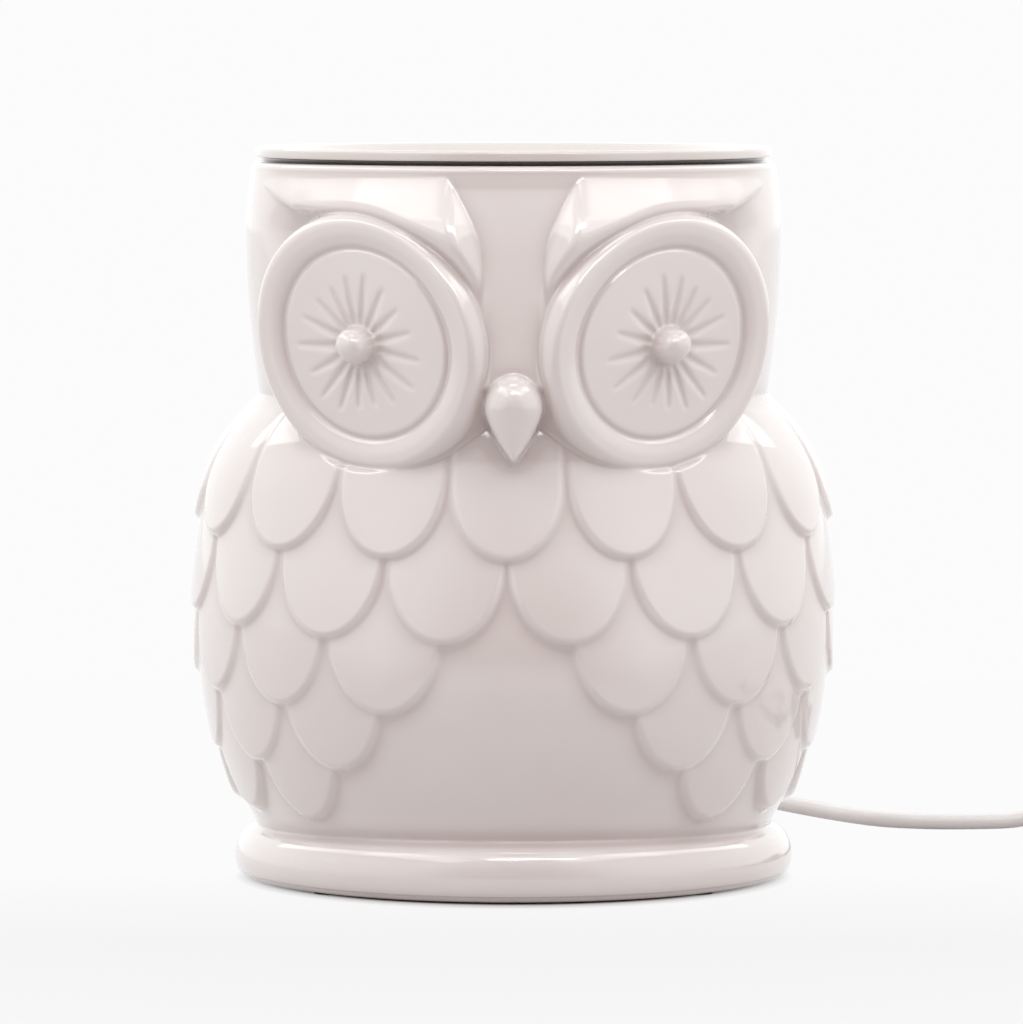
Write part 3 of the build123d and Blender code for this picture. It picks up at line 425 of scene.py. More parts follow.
def glaze(name, colour, tint, pooled_and_shaded, rough):
    """Glossy glaze over cast ceramic: clouded a little, with a long ripple, and mixed towards a darker
    colour by a share at each point that is glaze stain in hollows and painted shade in grooves, between
    feathers and under the dish.
    """
    material, tree, shader = new_material(name)
    pool_and_shade = tree.nodes.new("ShaderNodeAttribute")
    pool_and_shade.attribute_name = "pool_and_shade"
    cloud = range_node(tree, noise_node(tree, GLAZE_CLOUD), *DRIFT_RANGE, 0.0, 1.0)
    body = mix_node(tree, cloud, colour, tint)
    stained_and_shaded = mix_node(tree, pool_and_shade.outputs["Fac"], body, pooled_and_shaded)
    link(tree, stained_and_shaded, shader.inputs["Base Color"])
    grain = range_node(tree, noise_node(tree, GLAZE_GRAIN), *FINE_RANGE, *rough)
    link(tree, grain, shader.inputs["Roughness"])
    speckle = math_node(tree, "MULTIPLY", noise_node(tree, GLAZE_SPECKLE), GLAZE_SPECKLE_SHARE)
    ripple = math_node(tree, "ADD", noise_node(tree, GLAZE_RIPPLE, GLAZE_RIPPLE_DETAIL), speckle)
    link(tree, bump_node(tree, ripple, GLAZE_BUMP), shader.inputs["Normal"])
    shader.inputs["Specular IOR Level"].default_value = GLAZE_SPECULAR
    shader.inputs["Coat Weight"].default_value = GLAZE_COAT
    shader.inputs["Coat Roughness"].default_value = GLAZE_COAT_ROUGHNESS
    return material


GLAZES = {
    "white_glaze": {
        "colour": (0.84, 0.775, 0.755),
        "tint": (0.81, 0.735, 0.715),
        # Brown of the glaze stain, partly painted shade in grooves and between feathers
        "pooled_and_shaded": (0.42, 0.31, 0.27),
        "rough": (0.07, 0.13),
    },
    "dish_glaze": {
        "colour": (0.795, 0.73, 0.695),
        "tint": (0.765, 0.7, 0.66),
        # Near black: painted shadow in the gap under the dish's edge
        "pooled_and_shaded": (0.03, 0.015, 0.01),
        "rough": (0.08, 0.14),
    },
}
SURFACES = {
    "pad_rubber": {
        "colour": (0.03, 0.03, 0.03),
        "tint": (0.06, 0.058, 0.055),
        "grain": 900.0,
        "rough": (0.7, 0.9),
        "bump": 0.04,
    },
    "plate_steel": {
        "colour": (0.5, 0.5, 0.51),
        "tint": (0.38, 0.39, 0.4),
        "grain": 160.0,
        "rough": (0.3, 0.5),
        "bump": 0.01,
        "Metallic": 0.9,
    },
    "zinc_steel": {
        "colour": (0.62, 0.62, 0.63),
        "tint": (0.5, 0.5, 0.49),
        "grain": 700.0,
        "rough": (0.2, 0.38),
        "bump": 0.01,
        "Metallic": 1.0,
    },
    "fibre": {
        "colour": (0.26, 0.07, 0.04),
        "tint": (0.18, 0.05, 0.03),
        "grain": 1200.0,
        "rough": (0.6, 0.8),
        "bump": 0.03,
    },
    "steatite": {
        "colour": (0.72, 0.7, 0.62),
        "tint": (0.64, 0.61, 0.53),
        "grain": 800.0,
        "rough": (0.45, 0.6),
        "bump": 0.02,
    },
    "brass": {
        "colour": (0.72, 0.5, 0.2),
        "tint": (0.58, 0.38, 0.15),
        "grain": 500.0,
        "rough": (0.22, 0.4),
        "bump": 0.01,
        "Metallic": 1.0,
    },
    "nickel_brass": {
        "colour": (0.66, 0.64, 0.6),
        "tint": (0.56, 0.53, 0.48),
        "grain": 400.0,
        "rough": (0.15, 0.3),
        "bump": 0.006,
        "stretch": (1, 0.08, 1),
        "Metallic": 1.0,
    },
    "reflector": {
        "colour": (0.86, 0.86, 0.88),
        "tint": (0.74, 0.76, 0.82),
        "grain": 240.0,
        "rough": (0.04, 0.1),
        "bump": 0.25,
        "Metallic": 1.0,
    },
    "lamp_glass": {
        "colour": (0.95, 0.97, 0.97),
        "tint": (0.9, 0.94, 0.94),
        "grain": 180.0,
        "rough": (0.01, 0.04),
        "bump": 0.02,
        "Transmission_Weight": 1.0,
        "IOR": 1.5,
    },
    "cord_pvc": {
        "colour": (0.86, 0.83, 0.82),
        "tint": (0.8, 0.765, 0.75),
        "grain": 420.0,
        "rough": (0.3, 0.42),
        "bump": 0.03,
        "Coat_Weight": 0.15,
    },
    "lead_sleeve": {
        "colour": (0.74, 0.7, 0.62),
        "tint": (0.66, 0.61, 0.53),
        "grain": 900.0,
        "rough": (0.5, 0.65),
        "bump": 0.03,
    },
    "terminal_plastic": {
        "colour": (0.7, 0.7, 0.64),
        "tint": (0.62, 0.62, 0.56),
        "grain": 500.0,
        "rough": (0.35, 0.5),
        "bump": 0.02,
    },
    "switch_plastic": {
        "colour": (0.82, 0.81, 0.795),
        "tint": (0.77, 0.755, 0.735),
        "grain": 1100.0,
        "rough": (0.2, 0.32),
        "bump": 0.015,
        "Coat_Weight": 0.2,
    },
    "plug_pvc": {
        "colour": (0.81, 0.795, 0.78),
        "tint": (0.75, 0.73, 0.71),
        "grain": 1300.0,
        "rough": (0.35, 0.5),
        "bump": 0.03,
    },
    "pin_sleeve": {
        "colour": (0.02, 0.02, 0.02),
        "tint": (0.035, 0.034, 0.033),
        "grain": 900.0,
        "rough": (0.35, 0.5),
        "bump": 0.02,
    },
    "tie_band": {
        "colour": (0.7, 0.69, 0.68),
        "tint": (0.6, 0.59, 0.58),
        "grain": 1500.0,
        "rough": (0.5, 0.7),
        "bump": 0.08,
        "stretch": (0.15, 1, 1),
    },
}

slot_materials = {name: glaze(name, **look) for name, look in GLAZES.items()}
slot_materials.update({name: surface(name, **look) for name, look in SURFACES.items()})

for subpart in frame["record"]["subparts"]:
    node = frame["nodes"][subpart["node"]]
    node.data.materials.clear()
    node.data.materials.append(slot_materials[subpart["material_slot"]])


def dress(piece, body, slot, *nodes):
    """A new piece takes its slot's material, rides on a body and stands for CAD nodes."""
    piece.data.materials.append(slot_materials[slot])
    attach(piece, body)
    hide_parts(*nodes)
    return piece


# Cords


def cord_section():
    """Hidden outline of the flat twin cord: two round edges and a shallow waist."""
    shoulder = (CORD_WIDTH - CORD_THICKNESS) / 2
    edge = CORD_THICKNESS / 2
    points = []
    for side in (1, -1):
        for step in range(CORD_EDGE_STEPS + 1):
            angle = radians(-90 + 180 * step / CORD_EDGE_STEPS)
            points.append((side * (shoulder + edge * cos(angle)), side * edge * sin(angle)))
        points.append((0.0, side * (edge - CORD_WAIST)))
    data = bpy.data.curves.new("cord_section", "CURVE")
    data.dimensions = "2D"
    spline = data.splines.new("POLY")
    spline.points.add(len(points) - 1)
    for point, (x, y) in zip(spline.points, points):
        point.co = (x * MM, y * MM, 0, 1)
    spline.use_cyclic_u = True
    section = bpy.data.objects.new("cord_section", data)
    bpy.context.collection.objects.link(section)
    section.hide_render = True
    section.hide_viewport = True
    return section


def cord_curve(name, route, section):
    """Flat cord along one smooth spline that takes the route's points as its control points."""
    data = bpy.data.curves.new(name, "CURVE")
    data.dimensions = "3D"
    data.twist_mode = "Z_UP"
    data.bevel_mode = "OBJECT"
    data.bevel_object = section
    data.resolution_u = CORD_STEPS
    data.use_fill_caps = True
    spline = data.splines.new("NURBS")
    spline.points.add(len(route) - 1)
    for point, place in zip(spline.points, route):
        point.co = (*[length * MM for length in place], 1)
    spline.order_u = 3
    spline.use_endpoint_u = True
    cord = bpy.data.objects.new(name, data)
    bpy.context.collection.objects.link(cord)
    return cord


def coil_point(turn):
    """Place on the coil after a number of turns: in on the lower layer, out on the upper."""
    half_way = COIL_TURNS / 2
    radius = COIL_OUTER - COIL_PITCH * (half_way - abs(turn - half_way))
    climb = min(max((turn - half_way) / COIL_CLIMB + 0.5, 0), 1)
    rise = COIL_RISE * climb * climb * (3 - 2 * climb)
    angle = -2 * pi * turn
    x, y, z = COIL_CENTRE
    return (x + radius * cos(angle), y + radius * sin(angle), z + rise)


section = cord_section()
lead = dress(cord_curve("lead_cord", LEAD_ROUTE, section), "warmer", "cord_pvc", "mains_cord")

turns = [step / COIL_STEPS for step in range(COIL_TURNS * COIL_STEPS + 1)]
coil_points = [coil_point(turn) for turn in turns]
coil = dress(
    cord_curve("coiled_cord", [*COIL_ROUTE, *coil_points, *PLUG_ROUTE], section),
    "warmer",
    "cord_pvc",
    "switch_to_coil",
    "cord_coil",
    "coil_to_plug",
)


# Mesh helpers


def grid_mesh(name, points, pool_and_shade):
    """Smooth closed mesh from rows of points that each go round, with a share of glaze stain and painted
    shade at each point.
    """
    rows, columns = points.shape[:2]
    first = np.arange(rows)[:, None]
    column = np.arange(columns)[None, :]
    following = (first + 1) % rows
    beside = (column + 1) % columns
    corners = [
        first * columns + column,
        first * columns + beside,
        following * columns + beside,
        following * columns + column,
    ]
    faces = np.stack(np.broadcast_arrays(*corners), axis=-1).reshape(-1, len(corners))
    mesh = bpy.data.meshes.new(name)
    mesh.vertices.add(rows * columns)
    mesh.vertices.foreach_set("co", (points * MM).astype(np.float32).ravel())
    mesh.loops.add(faces.size)
    mesh.loops.foreach_set("vertex_index", faces.astype(np.int32).ravel())
    mesh.polygons.add(len(faces))
    mesh.polygons.foreach_set("loop_start", np.arange(0, faces.size, len(corners), dtype=np.int32))
    mesh.update(calc_edges=True)
    mesh.polygons.foreach_set("use_smooth", np.ones(len(faces), dtype=bool))
    stain_and_shade = mesh.attributes.new("pool_and_shade", "FLOAT", "POINT")
    stain_and_shade.data.foreach_set("value", pool_and_shade.astype(np.float32).ravel())
    mesh.validate()
    piece = bpy.data.objects.new(name, mesh)
    bpy.context.collection.objects.link(piece)
    return piece


def soft_max(first, second, width):
    """The larger of two surfaces, with the corner between them rounded over a width."""
    share = np.clip(0.5 + 0.5 * (first - second) / width, 0, 1)
    return second + (first - second) * share + width * share * (1 - share)


def soft_min(first, second, width):
    return -soft_max(-first, -second, width)


def smooth_step(low, high, value):
    share = np.clip((value - low) / (high - low), 0, 1)
    return share * share * (3 - 2 * share)


def between(ends, share):
    return ends[0] + (ends[1] - ends[0]) * share


def angle_from(angles, bearing=0):
    """Angles measured from a bearing, within half a turn either way."""
    return (angles - bearing + 180) % 360 - 180


def rounded_line(corners, steps=8, guard=0.35):
    """Line through corners given as (radius, height, rounding), with round corners."""
    line = []
    for place, (x, y, rounding) in enumerate(corners):
        here = np.array((x, y))
        if rounding == 0 or place in (0, len(corners) - 1):
            line.append(here)
            continue
        before = np.array(corners[place - 1][:2]) - here
        after = np.array(corners[place + 1][:2]) - here
        before = before / np.linalg.norm(before)
        after = after / np.linalg.norm(after)
        line.append(here + before * (rounding + guard))
        for step in range(steps + 1):
            share = step / steps
            line.append(here + before * rounding * (1 - share) ** 2 + after * rounding * share**2)
        line.append(here + after * (rounding + guard))
    return np.array(line)


def turned_rows(radius, heights, turn):
    """Rows of points at a radius and a height, turned through angles in radians."""
    across = radius * np.sin(turn)
    along = -radius * np.cos(turn)
    return np.stack([across, along, np.broadcast_to(heights, across.shape)], axis=-1)


def upright_arc(heights, widest, other):
    """Radius on the arc that is upright at its widest place and passes through another."""
    reach = widest[0] - other[0]
    rise = widest[1] - other[1]
    bend = (reach * reach + rise * rise) / (2 * reach)
    return widest[0] - bend + np.sqrt(np.clip(bend * bend - (heights - widest[1]) ** 2, 0, None))


def three_point_arc(heights, first, second, third):
    """Radius on the outer side of the circle through three places."""
    places = np.array((first, second, third))
    system = np.c_[2 * places, np.ones(len(places))]
    x, y, rest = np.linalg.solve(system, (places**2).sum(axis=1))
    bend = rest + x * x + y * y
    return x + np.sqrt(np.clip(bend - (heights - y) ** 2, 0, None))


def inside_oval(across, along, half_across, half_along):
    """Distance inside an oval's edge, negative outside it."""
    tiny = 1e-9
    scaled = np.sqrt((across / half_across) ** 2 + (along / half_along) ** 2 + tiny)
    slope = np.sqrt((across / half_across**2) ** 2 + (along / half_along**2) ** 2 + tiny / half_across**2)
    return scaled * (1 - scaled) / slope


# Owl shell


def shoulder_arc(heights):
    """Radius on the arc that goes on smoothly from the belly's and ends at the neck."""
    reach = BELLY[0] - SHOULDER[0]
    rise = SHOULDER[1] - BELLY[1]
    bend = (reach**2 + rise**2) / (2 * reach)
    inward = np.array((-np.sqrt(bend**2 - rise**2), -rise)) / bend
    step = np.array(NECK) - np.array(SHOULDER)
    turn = step.dot(step) / (2 * step.dot(inward))
    centre = np.array(SHOULDER) + turn * inward
    return centre[0] + np.sqrt(np.clip(turn**2 - (heights - centre[1]) ** 2, 0, None))


def plain_body(heights):
    """Radius of the body without feathers and face."""
    foot = three_point_arc(heights, FOOT_EDGE, FOOT_WIDEST, CREASE)
    foot = np.where(heights > CREASE[1] + FOOT_OVERLAP, 0, foot)
    belly_low = upright_arc(heights, BELLY, CREASE)
    belly_high = upright_arc(heights, BELLY, SHOULDER)
    belly = np.where(heights < BELLY[1], belly_low, belly_high)
    belly = np.where(heights > SHOULDER[1], shoulder_arc(heights), belly)
    belly = np.where(heights < CREASE[1] - BELLY_OVERLAP, 0, belly)
    head_low = upright_arc(heights, HEAD, NECK)
    head_high = upright_arc(heights, HEAD, RIM)
    head = np.where(heights < HEAD[1], head_low, head_high)
    head = np.where(heights < NECK[1] - HEAD_OVERLAP, 0, head)
    return soft_max(soft_max(foot, belly, CREASE_SOFTNESS), head, NECK_SOFTNESS)


def feathered(angles, heights, body):
    """Body with its rows of feathers."""
    pitch = 360 / FEATHER_COUNT
    skin = body.copy()
    for row, (tip_front, tip_side, bare) in enumerate(FEATHER_ROWS):
        offset = row % 2 / 2
        turned = angles - FEATHER_TURN
        centre = (np.round(turned / pitch - offset) + offset) * pitch
        off_front = np.abs(angle_from(centre))
        raised = np.clip(1 - np.cos(np.radians(off_front)), 0, 1)
        tip = between((tip_front, tip_side), raised)
        reference = plain_body(np.array([tip_front]))[0] + FEATHER_LIFT
        half = FEATHER_FILL * reference * radians(pitch / 2)
        across = reference * np.radians(turned - centre)
        below = np.clip(tip + FEATHER_END - heights, 0, None)
        inside = inside_oval(across, below, half, FEATHER_END)
        taper = np.clip(1 - (heights - tip) / FEATHER_LENGTH, 0, 1)
        pillow = FEATHER_PILLOW * (1 - (across / half) ** 2)
        edge = smooth_step(-FEATHER_EDGE / 2, FEATHER_EDGE / 2, inside)
        lift = np.where(off_front >= bare, (FEATHER_LIFT + pillow) * taper * edge, 0)
        skin = soft_max(skin, body + lift, FEATHER_SOFTNESS)
    return skin


def ray_cut(around, radius):
    """Depth of the cut rays at a place on the eye: tapered, each a little off its even place."""
    cut = np.zeros_like(radius)
    for ray in range(RAY_COUNT):
        angle = 2 * pi * (ray + RAY_SWAY * sin(RAY_SWAY_WAVE * ray)) / RAY_COUNT
        outer = RAY_OUTER + RAY_SPREAD * cos(RAY_SPREAD_WAVE * ray)
        along = radius * np.cos(around - angle)
        aside = radius * np.sin(around - angle)
        share = np.clip((along - RAY_INNER) / (outer - RAY_INNER), 0, 1)
        start = smooth_step(RAY_INNER - RAY_START, RAY_INNER, along)
        stop = smooth_step(outer + RAY_STOP[0], outer - RAY_STOP[1], along)
        profile = np.exp(-((aside / between(RAY_WIDTH, share)) ** 2))
        cut = np.maximum(cut, between(RAY_DEPTH, share) * profile * start * stop)
    return cut


def eye_lean(rise):
    """How far the eye's outline is pushed outward at a height, more above its middle than below."""
    slope, bend, reach = EYE_LEAN
    return slope * rise + bend * (np.hypot(rise, reach) - reach)


def eye_face(outward, rise):
    """Distance of the eye's face from the owl's axis, along the eye's own direction."""
    leaned = outward - eye_lean(rise)
    radius = np.hypot(leaned, rise)
    beside = leaned - PUPIL_PLACE[0]
    above = rise - PUPIL_PLACE[1]
    from_pupil = np.hypot(beside, above)
    iris = IRIS_FACE + IRIS_DOME * (1 - np.clip(radius / IRIS_RADIUS, 0, 1) ** 2)
    ring = (RING_FACE - IRIS_FACE) * smooth_step(IRIS_RADIUS, RING_TOP, radius)
    groove = IRIS_GROOVE * np.exp(-(((radius - IRIS_RADIUS) / IRIS_GROOVE_WIDTH) ** 2))
    over = np.clip((radius - RING_CREST) / (EYE_RADIUS - RING_CREST), 0, 1)
    drop = RING_DROP * (1 - np.sqrt(1 - over**2)) + EYE_WALL * np.clip(radius - EYE_RADIUS, 0, None)
    face = iris + ring - groove - drop - ray_cut(np.arctan2(above, beside), from_pupil)
    bead = np.sqrt(np.clip(PUPIL_RADIUS**2 - from_pupil**2, 0, None))
    bead = np.where(from_pupil < PUPIL_RADIUS, PUPIL_CENTRE + bead, 0)
    return soft_max(face, bead, PUPIL_SOFTNESS)


def eye_surface(angles, heights, side):
    """Radius where each line out from the owl's axis meets an eye, or 0 beside it."""
    off = np.radians(angle_from(angles, side * EYE_ANGLE))
    off, above = np.broadcast_arrays(off, heights - EYE_HEIGHT)
    near = (np.abs(off) < radians(EYE_REACH)) & (np.abs(above) < EYE_RADIUS + EYE_MARGIN)
    slope = np.tan(off[near])
    rise = above[near]
    low = np.zeros_like(rise)
    high = np.full_like(rise, PUPIL_CENTRE + PUPIL_RADIUS + EYE_FRONT_MARGIN)
    for _ in range(EYE_HALVINGS):
        middle = (low + high) / 2
        beyond = middle > eye_face(side * middle * slope, rise)
        high = np.where(beyond, middle, high)
        low = np.where(beyond, low, middle)
    surface_radius = np.zeros(above.shape)
    surface_radius[near] = low / np.cos(off[near])
    return surface_radius


def socketed(angles, heights, skin):
    """Skin with the chest taken in under the beak, hollows that hold the eyes, and the ears' pockets."""
    off_front = np.abs(angle_from(angles))
    chest = CHEST_FACE + CHEST_SLOPE * np.clip(CHEST_HEIGHT - heights, 0, None)
    chest = chest + CHEST_SPREAD * smooth_step(*CHEST_WIDTH, off_front)
    skin = np.where(heights < BROW_LOW, soft_min(skin, chest, CHEST_SOFTNESS), skin)
    above = heights - EYE_HEIGHT
    for side in (-1, 1):
        off = np.radians(angle_from(angles, side * EYE_ANGLE))
        near = np.abs(off) < radians(SOCKET_REACH)
        bearing = np.where(near, off, 0)
        place = np.hypot(side * SOCKET_FACE * np.tan(bearing) - eye_lean(above), above)
        socket = SOCKET_FACE + SOCKET_SLOPE * np.clip(place - SOCKET_RADIUS, 0, None)
        socket = socket / np.cos(bearing)
        skin = np.where(near, soft_min(skin, socket, SOCKET_SOFTNESS), skin)
    dent = ((off_front - POCKET_PLACE[0]) / POCKET_SIZE[0]) ** 2
    dent = dent + ((heights - POCKET_PLACE[1]) / POCKET_SIZE[1]) ** 2
    return skin - POCKET_DEPTH * np.exp(-dent)


def brow_surface(off_front, heights, body):
    """Radius of the sloping forehead with its channel, and of the bridge below it."""
    ridge = np.clip(RIM[0] + BROW_TILT * (RIM[1] - heights) - body, 0, None)
    ridge = soft_min(ridge, np.full_like(ridge, BROW_LIFT), BROW_SOFTNESS)
    forehead = body + ridge * smooth_step(*BROW_FADE, off_front)
    halves = [np.interp(heights + shift, CHANNEL_HEIGHTS, CHANNEL_WIDTHS) for shift in CHANNEL_BLUR]
    channel_half = sum(halves) / len(halves)
    crest = three_point_arc(heights, *CHANNEL_PLACES)
    middle = RIM[0] * np.sin(np.radians(np.clip(off_front, 0, 90)))
    channel = crest + CHANNEL_SLOPE * np.clip(middle - channel_half, 0, None)
    bridge = np.where(heights < CHANNEL_HEIGHTS[1], crest + CHANNEL_SOFTNESS, 0)
    forehead = soft_max(forehead, bridge, CHANNEL_SOFTNESS)
    return soft_min(forehead, channel, CHANNEL_SOFTNESS)


def with_brow(angles, heights, skin, body):
    """Skin with the brow, which ends in a round edge over the eyes and under the ear tufts."""
    off_front = np.abs(angle_from(angles))
    brow = brow_surface(off_front, heights, body)
    above = heights - EYE_HEIGHT
    place = np.hypot(brow * np.sin(np.radians(off_front - EYE_ANGLE)) - eye_lean(above), above)
    ear = smooth_step(*EAR_BLEND, off_front)
    over_eye = place - EYE_RADIUS - BROW_GAP
    over_ear = heights - np.interp(off_front, *zip(*EAR_LINE))
    inside = between((over_eye, over_ear), ear)
    inside = np.minimum(inside, EAR_END - off_front)
    inside = np.minimum(inside, heights - BROW_LOW)
    edge = BROW_EDGE[0]
    for turn, width, next_width in zip(BROW_EDGE_TURNS, BROW_EDGE, BROW_EDGE[1:]):
        edge = edge + (next_width - width) * smooth_step(*turn, above / place)
    edge = between((edge, EAR_EDGE), ear)
    share = np.clip(inside / edge, 0, 1)
    raised = skin + (brow - skin) * share * (2 - share)
    return np.where((inside > 0) & (raised > skin), raised, skin)


def with_beak(angles, heights, skin):
    """Skin with the beak: a round-topped drop that narrows to its point and stands off the chest."""
    rising = np.clip((heights - BEAK_WIDEST) / (BEAK_TOP - BEAK_WIDEST), 0, 1)
    falling = np.clip((BEAK_WIDEST - heights) / (BEAK_WIDEST - BEAK_TIP), 0, 1)
    half = BEAK_HALF * np.sqrt(1 - rising**2) * (1 - falling**BEAK_POINT)
    reach = between((BEAK_REACH, BEAK_TIP_REACH), falling) * np.sqrt(1 - rising**2)
    across = (BEAK_ROOT + BEAK_REACH / 2) * np.sin(np.radians(angles))
    front = np.abs(angle_from(angles)) < BEAK_ANGLE
    share = np.clip(1 - (across / np.maximum(half, BEAK_LEAST_HALF)) ** 2, 0, None)
    there = front & (half > BEAK_LEAST_HALF) & (share > 0)
    beak = np.where(there, BEAK_ROOT + reach * np.sqrt(share), 0)
    return soft_max(skin, beak, BEAK_SOFTNESS)


def with_boss(angles, heights, skin):
    """Flat round boss at the back where the cord leaves."""
    off = np.radians(angle_from(angles, 180))
    near = np.abs(off) < radians(BOSS_REACH)
    bearing = np.where(near, off, 0)
    place = np.hypot(BOSS_FACE * np.tan(bearing), heights - BOSS_HEIGHT)
    edge_start, edge_end = [BOSS_RADIUS + step for step in BOSS_EDGE]
    share = np.where(near, smooth_step(edge_start, edge_end, place), 0)
    return skin + (BOSS_FACE / np.cos(bearing) - skin) * share


def softened(values, times):
    """Values blurred over neighbouring grid places, as thick glaze softens a cast edge."""
    for _ in range(times):
        values = (np.roll(values, 1, axis=1) + 2 * values + np.roll(values, -1, axis=1)) / 4
        padded = np.concatenate([values[:1], values, values[-1:]])
        values = (padded[:-2] + 2 * padded[1:-1] + padded[2:]) / 4
    return values


def shell_skin(angles, heights):
    """Radius of the outside: the body with its crease, then feathers, face and boss."""
    front = np.clip(np.cos(np.radians(angles)), 0, None) ** 2
    rise = smooth_step(FOOT_EDGE[1], CREASE[1], heights) * smooth_step(BELLY[1], CREASE[1], heights)
    body = plain_body(heights - CREASE_RISE * front * rise)
    skin = feathered(angles, heights, socketed(angles, heights, body))
    skin = with_brow(angles, heights, skin, body)
    for side in (-1, 1):
        skin = soft_max(skin, eye_surface(angles, heights, side), EYE_SOFTNESS)
    skin = with_beak(angles, heights, skin)
    skin = with_boss(angles, heights, skin)
    return softened(skin, 1)


def glaze_pool_and_shade(skin):
    """Share of stain where the glaze gathers, partly painted shade in grooves and between feathers."""
    pool_and_shade = np.zeros_like(skin)
    for passes, depth, stain_and_shade in POOL_AND_SHADE_PASSES:
        pool_and_shade = pool_and_shade + stain_and_shade * np.clip((softened(skin, passes) - skin) / depth, 0, 1)
    return np.minimum(pool_and_shade, POOL_AND_SHADE_MOST)


def shell_inside():
    """Side line from the rim's inner edge down the cavity, under the floor and out to the foot."""
    collar = rounded_line(
        [
            (RIM[0] - RIM_ROUNDING - RIM_INSET, RIM[1], 0),
            (MOUTH_RADIUS, RIM[1], MOUTH_ROUNDING),
            (MOUTH_RADIUS, COLLAR_HEIGHT + COLLAR_INSET, 0),
        ]
    )
    high = np.linspace(COLLAR_HEIGHT, CAVITY[1], CAVITY_ROWS[0])
    low = np.linspace(CAVITY[1], CAVITY_FOOT[1], CAVITY_ROWS[1])[1:]
    cavity_high = np.c_[upright_arc(high, CAVITY, (MOUTH_RADIUS, COLLAR_HEIGHT)), high]
    cavity_low = np.c_[upright_arc(low, CAVITY, CAVITY_FOOT), low]
    below = rounded_line(
        [
            (CAVITY_FOOT[0] - CAVITY_INSET, CAVITY_FOOT[1], 0),
            (FLOOR_HOLE, CAVITY_FOOT[1], FLOOR_ROUNDING),
            (FLOOR_HOLE, FLOOR_LOW, RECESS_ROUNDING),
            (RECESS_RADIUS, FLOOR_LOW, RECESS_ROUNDING),
            (RECESS_RADIUS, PAD_THICKNESS, FLOOR_ROUNDING),
            (SKIRT_RADIUS - SKIRT_BEVEL, PAD_THICKNESS, 0),
            (SKIRT_RADIUS, SKIRT_LOW, 0),
            (FOOT_EDGE[0], SKIRT_LOW, FOOT_ROUNDING),
            (FOOT_EDGE[0] + FOOT_FLARE, SKIRT_LOW + 2 * FOOT_ROUNDING, 0),
        ],
        guard=CLOSE_GUARD,
    )[:-2]
    return np.concatenate([collar, cavity_high, cavity_low, below])


def owl_shell():
    front = np.linspace(-FRONT_REACH, FRONT_REACH, FRONT_COLUMNS, endpoint=False)
    back = np.linspace(FRONT_REACH, 360 - FRONT_REACH, BACK_COLUMNS, endpoint=False)
    angles = np.concatenate([front, back])[None, :]
    turn = np.radians(angles)
    rim_start = RIM_LIP - RIM_ROUNDING
    heights = np.linspace(SKIRT_LOW + FOOT_ROUNDING, rim_start, SIDE_ROWS)[:, None]
    skin = shell_skin(angles, heights)
    lip = np.radians(np.linspace(0, 90, LIP_ROWS)[1:])[:, None]
    lip_radius = skin[-1:] - RIM_ROUNDING * (1 - np.cos(lip))
    lip_height = rim_start + RIM_ROUNDING * np.sin(lip)
    inside = shell_inside()
    points = np.concatenate(
        [
            turned_rows(skin, heights, turn),
            turned_rows(lip_radius, lip_height, turn),
            turned_rows(inside[:, :1], inside[:, 1:], turn),
        ]
    )
    pool_and_shade = np.zeros(points.shape[:2])
    # Glaze stain on the outside, partly painted shade in grooves and between feathers
    pool_and_shade[: len(skin)] = glaze_pool_and_shade(skin)
    # Painted shade on the first rows inside the rim, under the dish
    painted_shade_start = len(skin) + len(lip)
    pool_and_shade[painted_shade_start : painted_shade_start + RIM_PAINTED_SHADE_ROWS] = RIM_PAINTED_SHADE
    return grid_mesh("glazed_owl", points, pool_and_shade)


dress(owl_shell(), "warmer", "white_glaze", "owl_shell")


# Wax dish


def bowl_arc(reach, low, high):
    """Places on the arc that leaves the dish's flat middle and rises to a height."""
    rise = high - low
    bend = (reach**2 + rise**2) / (2 * rise)
    out = reach * np.linspace(0, 1, DISH_BOWL_ROWS)[1:]
    return np.c_[DISH_FLOOR_RADIUS + out, low + bend - np.sqrt(bend**2 - out**2)]


